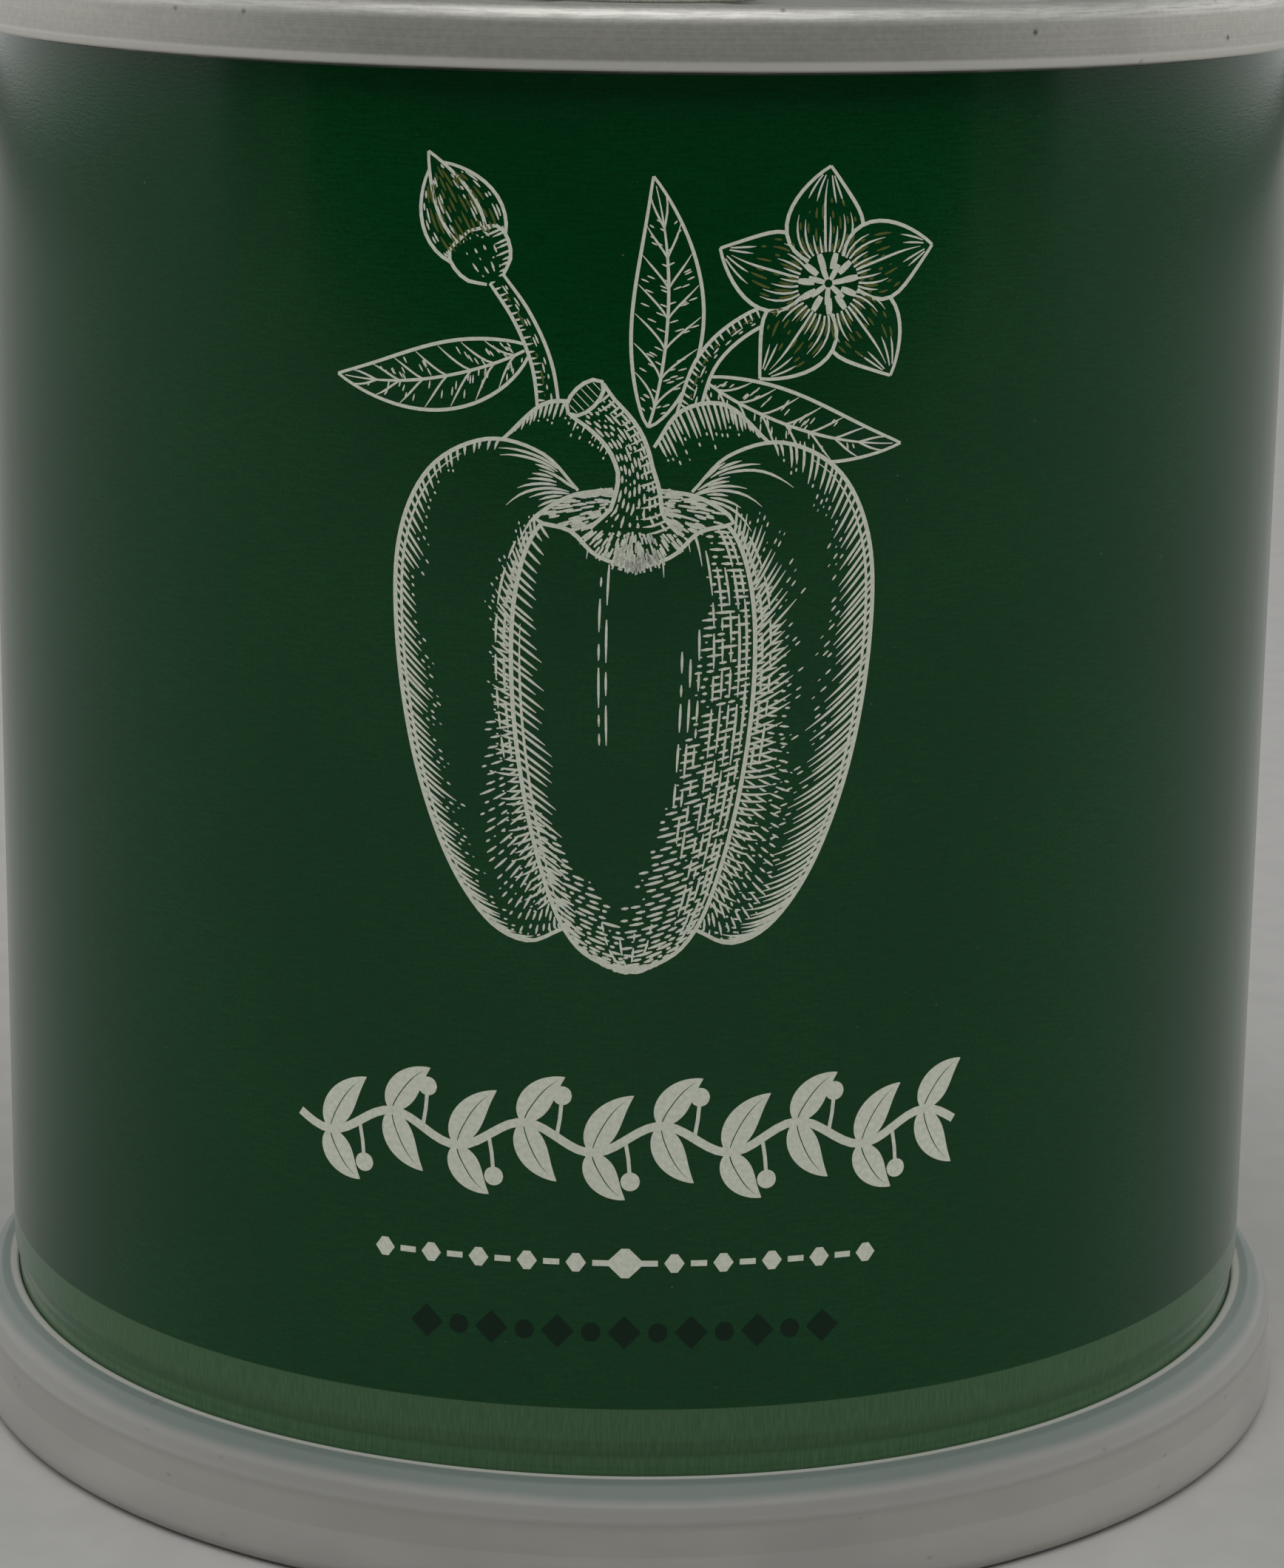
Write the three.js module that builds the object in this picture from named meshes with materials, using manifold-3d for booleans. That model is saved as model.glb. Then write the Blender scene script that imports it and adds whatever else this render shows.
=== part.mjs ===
// A seed-growing tin: a seamed tinplate can with a printed wrap and a ring-pull end, standing in the
// plastic snap cap that serves as its saucer. Inside are a filter disc, a growing medium, seeds and a
// cover layer. Millimetres, +Z up. The origin is the middle of the saucer's underside, and the front
// of the wrap faces -Y.
import * as THREE from "three";
import { mergeVertices } from "three/addons/utils/BufferGeometryUtils.js";
import Module from "manifold-3d";

const wasm = await Module();
wasm.setup();

// Tin
const tinHeight = 80; // over both double seams
const bodyRadius = 36.35; // outside of the tinplate wall
const plate = 0.22; // tinplate thickness
const neckDepth = 0.25; // how far the wall draws in above the lower seam
const neckHeight = 2.2; // from the lower seam to the foot of the neck's slope
const neckSlope = 1; // height over which the wall draws in
const weldWidth = 1.4;
const weldHeight = 0.15; // how far the welded seam stands into the tin

// Double seams
const seamWidth = 1.65; // from the tin wall to the outside of a seam
const seamHeight = 3.15;
const seamBend = 0.42; // centre-line radius of the folds
const hookGap = 0.35; // between the tip of a hook and the fold that it reaches into
const compoundThickness = 0.25;
const compoundWidth = 0.8;
const seamGap = 0.11; // between layers that don't touch

// Printed wrap
const wrapThickness = 0.1;
const wrapGap = 0.05; // between the wrap and the wall
const wrapMargin = 0.2; // between the wrap's edges and the seams

// Ends
const countersinkDepth = 4.6; // from the seam's crown to the countersink, on the plate's centre line
const countersinkWidth = 1.1;
const chuckTaper = 0.7; // how far the chuck wall leans in on its way down
const panelEdge = 0.8; // slope between the countersink and the panel
const topPanelDepth = 2.85;
const tabWellStep = 0.5; // how far the middle of the top panel lies below its edge
const panelLedge = 3.2; // width of the panel's edge around the tab well
const bottomPanelDepth = 3;
const beadHeight = 0.5;
const innerBeadRadius = 9.5;
const outerBeadInset = 9; // from the panel's edge to the middle of the outer bead
const beadWidth = 3;
const drainHoles = 6;
const drainHoleRadius = 2.5;

// Ring-pull tab, with its rivet formed from the panel
const tabThickness = 1.1;
const tabCurl = 0.275; // how far the tab's edges are rounded off
const tabClearance = 0.15; // between the tab and the panel's edge
const tabRingHalfWidth = 7.8;
const tabRingHalfLength = 7.2;
const tabNoseRadius = 5.7;
const fingerHoleHalfWidth = 5.3;
const fingerHoleHalfLength = 4.3;
const rivetToRing = 11.4; // from the rivet to the middle of the finger hole
const rivetInset = 5.6; // from the edge of the tab well to the rivet
const rivetRadius = 1.6;
const rivetHeadRadius = 2.7;
const rivetHeadThickness = 0.4;
const rivetClearance = 0.2; // around the rivet and its head
const rivetBossRadius = 3.4;
const rivetBossGap = 0.05; // between the boss and the tab

// Saucer cap
const capFloor = 0.8;
const capFoot = 1.2; // height of the foot ring below the floor
const capFootWidth = 1.5;
const capWall = 0.75;
const capSeamGap = 0.15; // between the lower seam and the cap's wall
const capLipHeight = 1.25; // above the lower seam
const capLipWidth = 1.45;
const capLipGap = 0.45; // between the wrap, where it is widest, and the lip
const capCorner = 0.9; // radius of the foot's outer corner
const capSoftening = 0.225; // radius of the lip's corners
const capFlare = 0.55; // how far the foot's corner stands out past the wall

// Contents
const filterThickness = 0.6;
const filterMargin = 1.2; // between the filter disc and the countersink
const mediumGap = 0.3; // between the contents and the tin wall
const headspace = 9; // between the cover layer and the top end
const mediumLift = 0.4; // how far the medium's edge clears the countersink
const coverHeight = 3.5;
const coverDome = 0.35; // how far the cover layer rises from its edge
const seedCount = 5;
const seedCircleRadius = 14;
const seedLength = 4.2;
const seedWidth = 3.6;
const seedThickness = 0.9;
const seedBeak = 0.7; // how much a seed narrows towards its beak
const seedGap = 0.05; // under a seed and above it
const pitMargin = 0.9; // around a seed in its pit

// Facets
const roundSegments = 40; // around the tin
const smallSegments = 20; // around a rivet or a hole
const bendSteps = 1; // in a rounded corner
const cutBeyond = 1; // how far a cutting bar passes the surface it cuts
const mergeDistance = 1e-5; // below which two vertices are one

// Sizes that follow
const tinBottom = capFoot + capFloor;
const tinTop = tinBottom + tinHeight;
const wallRadius = bodyRadius - plate / 2; // centre line of the wall
const layerPitch = seamWidth / 3;
const chuckRadius = wallRadius - plate - seamGap;
const crownDepth = plate / 2;
const bodyCrownDepth = crownDepth + plate + compoundThickness + seamGap;
const seamFootDepth = seamHeight - plate / 2;
const sinkRadius = chuckRadius - chuckTaper - countersinkWidth; // inner edge of the countersink
const panelRadius = sinkRadius - panelEdge;
const neckFoot = tinBottom + seamHeight + neckHeight;
const wrapRadius = bodyRadius + wrapGap + wrapThickness;

const point = (x, y) => new THREE.Vector2(x, y);

/** A path with each corner rounded: a corner is [x, y] or [x, y, radius]. */
function rounded(corners) {
  const path = [];
  corners.forEach(([x, y, radius = 0], i) => {
    const corner = point(x, y);
    if (radius === 0) {
      path.push(corner);
      return;
    }
    const back = point(...corners[i - 1]).sub(corner).normalize();
    const on = point(...corners[i + 1]).sub(corner).normalize();
    const halfAngle = Math.acos(THREE.MathUtils.clamp(back.dot(on), -1, 1)) / 2;
    const middle = back.clone().add(on).normalize().multiplyScalar(radius / Math.sin(halfAngle)).add(corner);
    const reach = radius / Math.tan(halfAngle);
    const start = back.multiplyScalar(reach).add(corner).sub(middle);
    const end = on.multiplyScalar(reach).add(corner).sub(middle);
    const sweep = Math.atan2(start.cross(end), start.dot(end));
    for (let k = 0; k <= bendSteps; k++) {
      path.push(start.clone().rotateAround(point(0, 0), (sweep * k) / bendSteps).add(middle));
    }
  });
  return path;
}

/** The closed outline of a sheet whose middle follows a path. */
function sheetOutline(path, thickness) {
  const sides = [1, -1].map((side) =>
    path.map((here, i) => {
      const before = here.clone().sub(path[Math.max(i - 1, 0)]).normalize();
      const after = path[Math.min(i + 1, path.length - 1)].clone().sub(here).normalize();
      const along = before.clone().add(after).normalize();
      const mitre = along.dot(before.lengthSq() > 0 ? before : after);
      const across = point(-along.y, along.x).multiplyScalar((side * thickness) / 2 / mitre);
      return here.clone().add(across);
    }),
  );
  return [...sides[0], ...sides[1].reverse()];
}

/** The geometry with only its positions, its shared vertices merged and its faces pointing out. */
function tidied(geometry) {
  const bare = geometry.clone();
  bare.deleteAttribute("normal");
  bare.deleteAttribute("uv");
  const merged = mergeVertices(bare, mergeDistance);
  const index = merged.getIndex();
  const place = merged.getAttribute("position");
  const corners = [0, 1, 2].map(() => new THREE.Vector3());
  const kept = [];
  let volume = 0;
  for (let i = 0; i < index.count; i += 3) {
    const triangle = [index.getX(i), index.getX(i + 1), index.getX(i + 2)];
    if (new Set(triangle).size < 3) continue;
    triangle.forEach((vertex, k) => corners[k].fromBufferAttribute(place, vertex));
    volume += corners[0].dot(corners[1].cross(corners[2]));
    kept.push(triangle);
  }
  merged.setIndex(kept.flatMap(([a, b, c]) => (volume < 0 ? [a, c, b] : [a, b, c])));
  return merged;
}

/** A closed outline of [radius, height] turned about Z. */
function turned(outline) {
  const onAxis = outline[0].x === 0 && outline.at(-1).x === 0;
  const profile = onAxis ? outline : [...outline, outline[0]];
  return tidied(new THREE.LatheGeometry(profile, roundSegments).rotateX(Math.PI / 2));
}

/** A closed outline carried around Z through stations of [angle, outward shift], with capped ends. */
function wrapped(outline, stations) {
  const place = stations.flatMap(([angle, shift]) =>
    outline.flatMap(({ x, y }) => [(x + shift) * Math.cos(angle), (x + shift) * Math.sin(angle), y]),
  );
  const count = outline.length;
  const faces = [];
  for (let s = 0; s + 1 < stations.length; s++) {
    for (let i = 0; i < count; i++) {
      const a = s * count + i;
      const b = s * count + ((i + 1) % count);
      faces.push(a, b, a + count, b, b + count, a + count);
    }
  }
  const last = (stations.length - 1) * count;
  const clockwise = THREE.ShapeUtils.isClockWise(outline);
  for (const [a, b, c] of THREE.ShapeUtils.triangulateShape(outline, [])) {
    const [near, far] = clockwise ? [[a, b, c], [a, c, b]] : [[a, c, b], [a, b, c]];
    faces.push(...near);
    faces.push(...far.map((i) => i + last));
  }
  const geometry = new THREE.BufferGeometry();
  geometry.setAttribute("position", new THREE.Float32BufferAttribute(place, 3));
  geometry.setIndex(faces);
  return tidied(geometry);
}

/** An upright round bar between two heights. */
function bar(radius, low, high, x = 0, y = 0) {
  const geometry = new THREE.CylinderGeometry(radius, radius, high - low, smallSegments);
  return tidied(geometry.rotateX(Math.PI / 2).translate(x, y, (low + high) / 2));
}

const solid = (geometry) => {
  const mesh = tidied(geometry);
  return new wasm.Manifold(
    new wasm.Mesh({
      numProp: 3,
      vertProperties: Float32Array.from(mesh.getAttribute("position").array),
      triVerts: Uint32Array.from(mesh.getIndex().array),
    }),
  );
};

function geometryOf(manifold) {
  const { vertProperties, triVerts } = manifold.getMesh();
  const geometry = new THREE.BufferGeometry();
  geometry.setAttribute("position", new THREE.BufferAttribute(vertProperties, 3));
  geometry.setIndex(new THREE.BufferAttribute(triVerts, 1));
  return geometry;
}

const joined = (first, ...others) =>
  geometryOf(others.reduce((whole, other) => whole.add(solid(other)), solid(first)));
const cut = (first, ...others) =>
  geometryOf(others.reduce((whole, other) => whole.subtract(solid(other)), solid(first)));

/** Heights for a seam: depths are measured from its crown into the tin. */
const upperEnd = { height: (depth) => tinTop - depth, shift: 0 };
const lowerEnd = { height: (depth) => tinBottom + depth, shift: -neckDepth };

/** The end's folds, from the countersink over the crown to the tip of the cover hook. */
function endEdge(panelDepth) {
  const outside = wallRadius + 3 * layerPitch;
  const hook = wallRadius + layerPitch;
  return [
    [panelRadius, panelDepth],
    [sinkRadius, countersinkDepth, seamBend],
    [chuckRadius - chuckTaper, countersinkDepth, seamBend],
    [chuckRadius, crownDepth, seamBend],
    [outside, crownDepth, seamBend],
    [outside, seamFootDepth, seamBend / 2],
    [hook, seamFootDepth, seamBend / 2],
    [hook, bodyCrownDepth + plate / 2 + hookGap],
  ];
}

function endPlate(end, corners) {
  const path = rounded(corners).map(({ x, y }) => point(x === 0 ? 0 : x + end.shift, end.height(y)));
  return turned(sheetOutline(path, plate));
}

function canBody() {
  const hook = wallRadius + 2 * layerPitch;
  const fold = (end) => [
    [hook + end.shift, end.height(seamFootDepth - plate / 2 - hookGap)],
    [hook + end.shift, end.height(bodyCrownDepth), seamBend / 2],
    [wallRadius + end.shift, end.height(bodyCrownDepth), seamBend / 2],
  ];
  const path = rounded([
    ...fold(lowerEnd),
    [wallRadius + lowerEnd.shift, neckFoot],
    [wallRadius, neckFoot + neckSlope],
    ...fold(upperEnd).reverse(),
  ]);
  const low = neckFoot + neckSlope;
  const high = tinTop - countersinkDepth - plate;
  const inside = wallRadius - plate / 2;
  const weld = new THREE.BoxGeometry(weldWidth, weldHeight + plate / 2, high - low);
  weld.translate(0, inside - weldHeight + (weldHeight + plate / 2) / 2, (low + high) / 2);
  return joined(turned(sheetOutline(path, plate)), weld);
}

function printedLabel() {
  const middle = bodyRadius + wrapGap + wrapThickness / 2;
  const outline = sheetOutline(
    [
      point(middle + lowerEnd.shift, tinBottom + seamHeight + wrapMargin),
      point(middle + lowerEnd.shift, neckFoot),
      point(middle, neckFoot + neckSlope),
      point(middle, tinTop - seamHeight - wrapMargin),
    ],
    wrapThickness,
  );
  const step = (2 * Math.PI) / roundSegments;
  const stations = [];
  for (let i = 0; i <= roundSegments + 1; i++) {
    const lapped = i >= roundSegments;
    stations.push([Math.PI / 2 + i * step, lapped ? wrapThickness + wrapGap : 0]);
  }
  return wrapped(outline, stations);
}

function seamCompound(end) {
  const centre = wallRadius + layerPitch + end.shift;
  const depth = crownDepth + plate / 2 + seamGap / 2 + compoundThickness / 2;
  const path = [
    point(centre - compoundWidth / 2, end.height(depth)),
    point(centre + compoundWidth / 2, end.height(depth)),
  ];
  return turned(sheetOutline(path, compoundThickness));
}

const tabWellDepth = topPanelDepth + tabWellStep;
const tabWellRadius = panelRadius - panelLedge - tabWellStep;
const tabBottom = tinTop - topPanelDepth + plate / 2 + tabClearance;
const rivetY = tabWellRadius - rivetInset;

function topEnd() {
  const panel = endPlate(upperEnd, [
    [0, tabWellDepth],
    [tabWellRadius, tabWellDepth],
    [tabWellRadius + tabWellStep, topPanelDepth],
    ...endEdge(topPanelDepth),
  ]);
  const wellTop = tinTop - tabWellDepth;
  const headTop = tabBottom + tabThickness - rivetClearance;
  const headBottom = headTop - rivetHeadThickness;
  return joined(
    panel,
    bar(rivetBossRadius, wellTop, tabBottom - rivetBossGap, 0, rivetY),
    bar(rivetRadius, wellTop, headTop, 0, rivetY),
    bar(rivetHeadRadius, headBottom, headTop, 0, rivetY),
  );
}

function pullTab() {
  const ringY = rivetY - rivetToRing;
  const shape = new THREE.Shape();
  shape.absellipse(0, ringY, tabRingHalfWidth, tabRingHalfLength, Math.PI, 2 * Math.PI);
  shape.absarc(0, rivetY, tabNoseRadius, 0, Math.PI);
  const hole = new THREE.Path();
  hole.absellipse(0, ringY, fingerHoleHalfWidth, fingerHoleHalfLength, 0, 2 * Math.PI);
  shape.holes.push(hole);
  const tab = new THREE.ExtrudeGeometry(shape, {
    depth: tabThickness - 2 * tabCurl,
    curveSegments: smallSegments / 2,
    bevelThickness: tabCurl,
    bevelSize: tabCurl,
    bevelOffset: -tabCurl,
    bevelSegments: 1,
  });
  tab.translate(0, 0, tabBottom + tabCurl);
  const top = tabBottom + tabThickness;
  const seat = top - 2 * rivetClearance - rivetHeadThickness;
  return cut(
    tab,
    bar(rivetRadius + rivetClearance, tabBottom - cutBeyond, top + cutBeyond, 0, rivetY),
    bar(rivetHeadRadius + 2 * rivetClearance, seat, top + cutBeyond, 0, rivetY),
  );
}

function bottomEnd() {
  const outerBeadRadius = panelRadius - outerBeadInset;
  const drainCircleRadius = (innerBeadRadius + outerBeadRadius) / 2;
  const bead = (radius) => [
    [radius - beadWidth / 2 - beadHeight, bottomPanelDepth],
    [radius - beadWidth / 2, bottomPanelDepth + beadHeight],
    [radius + beadWidth / 2, bottomPanelDepth + beadHeight],
    [radius + beadWidth / 2 + beadHeight, bottomPanelDepth],
  ];
  const panel = endPlate(lowerEnd, [
    [0, bottomPanelDepth],
    ...bead(innerBeadRadius),
    ...bead(outerBeadRadius),
    ...endEdge(bottomPanelDepth),
  ]);
  const holes = [];
  for (let i = 0; i < drainHoles; i++) {
    const angle = (2 * Math.PI * (i + 0.5)) / drainHoles;
    const x = drainCircleRadius * Math.cos(angle);
    const y = drainCircleRadius * Math.sin(angle);
    holes.push(bar(drainHoleRadius, tinBottom, tinBottom + countersinkDepth, x, y));
  }
  return cut(panel, ...holes);
}

function saucerCap() {
  const seamOutside = bodyRadius + seamWidth - neckDepth;
  const inside = seamOutside + capSeamGap;
  const outside = inside + capWall;
  const lipBottom = tinBottom + seamHeight + seamGap;
  const lipTop = tinBottom + seamHeight + capLipHeight;
  const lipInside = wrapRadius + capLipGap;
  const lipOutside = lipInside + capLipWidth;
  const footOutside = outside + capFlare;
  return turned(
    rounded([
      [0, capFoot],
      [footOutside - capCorner - capFootWidth - capFoot / 2, capFoot],
      [footOutside - capCorner - capFootWidth, 0],
      [footOutside, 0, capCorner],
      [outside, tinBottom + capFloor],
      [lipOutside, lipBottom],
      [lipOutside, lipTop, capSoftening],
      [lipInside, lipTop, capSoftening],
      [lipInside, lipBottom + capSoftening],
      [inside, lipBottom],
      [inside, tinBottom],
      [0, tinBottom],
    ]),
  );
}

const filterBottom = tinBottom + bottomPanelDepth + beadHeight + plate / 2;
const filterTop = filterBottom + filterThickness;
const filterRadius = panelRadius - neckDepth - filterMargin;
const sinkTop = tinBottom + countersinkDepth + plate / 2;
const contentsRadius = bodyRadius - plate - mediumGap;
const mediumTop = tinTop - tabWellDepth - plate / 2 - headspace - coverHeight;
const pitDepth = seedThickness + 2 * seedGap;

const seedPlace = (i) => {
  const angle = Math.PI / 2 + (2 * Math.PI * i) / seedCount;
  return [seedCircleRadius * Math.cos(angle), seedCircleRadius * Math.sin(angle), angle];
};

function filterDisc() {
  return turned([
    point(0, filterBottom),
    point(filterRadius, filterBottom),
    point(filterRadius, filterTop),
    point(0, filterTop),
  ]);
}

function growingMedium() {
  const edge = Math.max(sinkTop, filterTop) + mediumLift;
  const plug = turned([
    point(0, filterTop),
    point(filterRadius, filterTop),
    point(filterRadius + panelEdge, edge),
    point(contentsRadius - neckDepth, edge),
    point(contentsRadius - neckDepth, neckFoot),
    point(contentsRadius, neckFoot + neckSlope),
    point(contentsRadius, mediumTop),
    point(0, mediumTop),
  ]);
  const pits = [];
  for (let i = 0; i < seedCount; i++) {
    const [x, y] = seedPlace(i);
    pits.push(bar(seedLength / 2 + pitMargin, mediumTop - pitDepth, mediumTop + cutBeyond, x, y));
  }
  return cut(plug, ...pits);
}

function coverLayer() {
  const top = mediumTop + coverHeight;
  return turned([
    point(0, mediumTop),
    point(contentsRadius, mediumTop),
    point(contentsRadius, top - coverDome),
    point(contentsRadius / 2, top),
    point(0, top - coverDome / 2),
  ]);
}

/** A flat rounded seed that narrows to a beak at one side. */
function pepperSeed(i) {
  const seed = tidied(new THREE.SphereGeometry(0.5, 12, 8).rotateX(Math.PI / 2));
  const place = seed.getAttribute("position");
  for (let v = 0; v < place.count; v++) {
    const x = place.getX(v);
    const narrowing = 1 - seedBeak * Math.max(0, x);
    place.setXYZ(v, x * seedLength, place.getY(v) * seedWidth * narrowing, place.getZ(v) * seedThickness);
  }
  const [x, y, angle] = seedPlace(i);
  seed.rotateZ(angle);
  seed.translate(x, y, mediumTop - pitDepth + seedGap + seedThickness / 2);
  return seed;
}

const finish = (color, roughness, metalness) =>
  new THREE.MeshStandardMaterial({ color, roughness, metalness });
const tinplate = finish(0xb9bab0, 0.35, 0.9);
const tabMetal = finish(0xc4c5bf, 0.3, 0.9);
const greenPrint = finish(0x16402a, 0.35, 0);
const sealant = finish(0x6f7a78, 0.7, 0);
const milkyPlastic = finish(0xd5d6cf, 0.45, 0);
const filterPaper = finish(0xd9d2c0, 0.95, 0);
const peat = finish(0x3a2a1e, 1, 0);
const vermiculite = finish(0xa48c63, 0.95, 0);
const seedCoat = finish(0xdcc79a, 0.6, 0);

const group = new THREE.Group();
function add(name, geometry, material) {
  const mesh = new THREE.Mesh(geometry, material.clone());
  mesh.name = name;
  group.add(mesh);
}

add("can_body", canBody(), tinplate);
add("printed_label", printedLabel(), greenPrint);
add("top_end", topEnd(), tinplate);
add("pull_tab", pullTab(), tabMetal);
add("top_seam_compound", seamCompound(upperEnd), sealant);
add("bottom_end", bottomEnd(), tinplate);
add("bottom_seam_compound", seamCompound(lowerEnd), sealant);
add("saucer_cap", saucerCap(), milkyPlastic);
add("filter_disc", filterDisc(), filterPaper);
add("growing_medium", growingMedium(), peat);
add("cover_layer", coverLayer(), vermiculite);
for (let i = 0; i < seedCount; i++) {
  add(`pepper_seed_${i + 1}`, pepperSeed(i), seedCoat);
}

export default group;
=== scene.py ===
"""A seed-growing tin round its CAD frame: engraved wrap, ring-pull lid, saucer and finishes."""

import math
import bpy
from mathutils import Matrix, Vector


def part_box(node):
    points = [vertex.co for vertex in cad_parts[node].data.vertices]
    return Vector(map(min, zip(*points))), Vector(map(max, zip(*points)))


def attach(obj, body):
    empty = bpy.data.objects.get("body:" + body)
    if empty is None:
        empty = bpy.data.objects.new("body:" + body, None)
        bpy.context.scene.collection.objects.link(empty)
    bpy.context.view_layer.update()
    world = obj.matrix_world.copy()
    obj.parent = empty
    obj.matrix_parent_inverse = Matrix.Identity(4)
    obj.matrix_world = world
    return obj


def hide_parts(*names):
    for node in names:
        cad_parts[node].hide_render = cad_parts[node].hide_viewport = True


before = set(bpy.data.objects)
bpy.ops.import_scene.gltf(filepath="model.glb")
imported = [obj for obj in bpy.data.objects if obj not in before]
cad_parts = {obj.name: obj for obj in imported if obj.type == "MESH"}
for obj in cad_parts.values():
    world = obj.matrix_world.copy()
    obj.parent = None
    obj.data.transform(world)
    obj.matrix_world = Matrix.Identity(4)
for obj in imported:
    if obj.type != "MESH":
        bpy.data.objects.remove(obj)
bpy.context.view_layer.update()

from types import SimpleNamespace

import bpy
import numpy as np
from mathutils import Matrix, Vector

bl_info = {
    "name": "Seed growing tin",
    "version": (1, 0, 0),
    "blender": (4, 5, 0),
    "location": "3D View > Sidebar > Seed tin",
    "description": "Builds the printed wrap, lid, tab, saucer and finishes of a seed-growing tin",
    "category": "Object",
}

MM = 0.001
BODY = "root"
MERGE = 0.001 * MM  # corners nearer to each other than this become one
TAB_NOSE = 5.7  # radius of the tab's nose, which is round its rivet


def corners(node):
    """The lowest and highest corner of a CAD node, in millimetres."""
    low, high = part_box(node)
    return low / MM, high / MM


LID_HIGH = corners("top_end")[1]
WRAP_LOW, WRAP_HIGH = corners("printed_label")
TAB_LOW, TAB_HIGH = corners("pull_tab")
CAP_HIGH = corners("saucer_cap")[1]
WRAP_RADIUS = WRAP_HIGH.x
RIM_RADIUS = LID_HIGH.x
TIN_TOP = LID_HIGH.z
TIN_BOTTOM = corners("bottom_end")[0].z


# ---- sizes and colours a user would change -------------------------------------------------


def length(name, description, millimetres):
    return bpy.props.FloatProperty(
        name=name, description=description, default=millimetres * MM, unit="LENGTH", precision=5, min=0.0
    )


def colour(name, description, *rgb):
    return bpy.props.FloatVectorProperty(
        name=name, description=description, default=rgb, subtype="COLOR", size=3, min=0.0, max=1.0
    )


class TinSizes(bpy.types.PropertyGroup):
    steps: bpy.props.IntProperty(
        name="Steps round the tin", description="Faces round each turned piece", default=288, min=24, max=512
    )
    band: length("Band height", "Height at which the pale band of the wrap gives way to dark green", 10.15)
    neck: length("Neck height", "Height at which the wrap starts to widen above the lower seam", 7.35)
    neck_rise: length("Neck rise", "Height over which the wrap widens", 1.0)
    neck_depth: length("Neck depth", "How far the wrap draws in at its foot", 0.25)
    wrap_thickness: length("Wrap thickness", "Thickness of the printed wrap", 0.1)
    lap: length("Lap", "Width of the wrap's overlap at the back", 5.2)
    ink: length("Ink thickness", "How far the printed ink stands above the wrap", 0.018)
    plate: length("Plate", "Thickness of the tinplate", 0.22)
    seam: length("Seam height", "Height of the folded seams", 3.15)
    panel_depth: length("Panel depth", "From the top of the seam down to the lid's panel", 3.35)
    ledge_depth: length("Ledge depth", "From the top of the seam down to the ledge round the panel", 2.85)
    groove_depth: length("Groove depth", "From the top of the seam down to the lid's groove", 4.6)
    cap_wall: length("Saucer wall", "Thickness of the saucer's wall", 0.75)
    cap_floor: length("Saucer clearance", "Height of the saucer's underside above its foot", 1.2)


class TinColours(bpy.types.PropertyGroup):
    dark_green: colour("Dark green", "Ground of the printed wrap", 0.0010, 0.056, 0.0125)
    band_green: colour("Band green", "Pale band at the foot of the wrap", 0.066, 0.150, 0.068)
    ink: colour("Pale ink", "Engraving and border", 0.88, 0.92, 0.77)
    tint: colour("Tint ink", "Olive strokes in the blossoms", 0.13, 0.165, 0.032)
    dark_ink: colour("Dark ink", "Row of ornaments near the foot", 0.0008, 0.022, 0.008)
    tinplate: colour("Tinplate", "Rim, lid and tin body", 0.52, 0.515, 0.47)
    tab: colour("Tab metal", "Ring-pull tab", 0.78, 0.78, 0.75)
    plastic: colour("Milky plastic", "Saucer cap", 0.47, 0.46, 0.425)
    floor: colour("Floor", "Plain floor under the tin", 0.50, 0.49, 0.47)


# ---- modelling -----------------------------------------------------------------------------


def select_none():
    if bpy.context.object and bpy.context.object.mode != "OBJECT":
        bpy.ops.object.mode_set(mode="OBJECT")
    bpy.ops.object.select_all(action="DESELECT")


def pick(piece):
    """Makes a piece the only selected one, and the active one."""
    select_none()
    bpy.context.view_layer.objects.active = piece
    piece.select_set(True)


def move(x, y, z=0.0):
    bpy.ops.transform.translate(value=(x * MM, y * MM, z * MM))


def resize(x, y):
    bpy.ops.transform.resize(value=(x, y, 1), center_override=(0, 0, 0))


def rotate(angle, centre=(0.0, 0.0)):
    middle = (centre[0] * MM, centre[1] * MM, 0)
    bpy.ops.transform.rotate(value=angle, orient_axis="Z", center_override=middle)


def outline_of(points):
    """Edges through (radius, height) points, drawn out of a plane merged to one point."""
    select_none()
    bpy.ops.mesh.primitive_plane_add(size=1)
    bpy.ops.object.mode_set(mode="EDIT")
    bpy.ops.mesh.select_mode(type="VERT")
    bpy.ops.mesh.merge(type="CENTER")
    move(points[0][0], 0, points[0][1])
    for (r0, z0), (r1, z1) in zip(points, points[1:]):
        step = ((r1 - r0) * MM, 0, (z1 - z0) * MM)
        bpy.ops.mesh.extrude_region_move(TRANSFORM_OT_translate={"value": step})


def merge_all():
    """Merges what meets and leaves everything selected."""
    bpy.ops.mesh.select_all(action="SELECT")
    bpy.ops.mesh.remove_doubles(threshold=MERGE)
    bpy.ops.mesh.select_all(action="SELECT")


def close_up():
    """Merges what meets and turns the faces outwards."""
    merge_all()
    bpy.ops.mesh.normals_make_consistent(inside=False)


def fill_ends():
    """Puts a face across each open end of the mesh being edited."""
    bpy.ops.mesh.select_mode(type="EDGE")
    bpy.ops.mesh.select_all(action="DESELECT")
    bpy.ops.mesh.select_non_manifold(
        use_wire=False, use_boundary=True, use_multi_face=False, use_non_contiguous=False, use_verts=False
    )
    bpy.ops.mesh.edge_face_add()


def spin(steps, angle, centre=(0, 0)):
    middle = (centre[0] * MM, centre[1] * MM, 0)
    bpy.ops.mesh.spin(steps=steps, angle=angle, center=middle, axis=(0, 0, 1))


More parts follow.
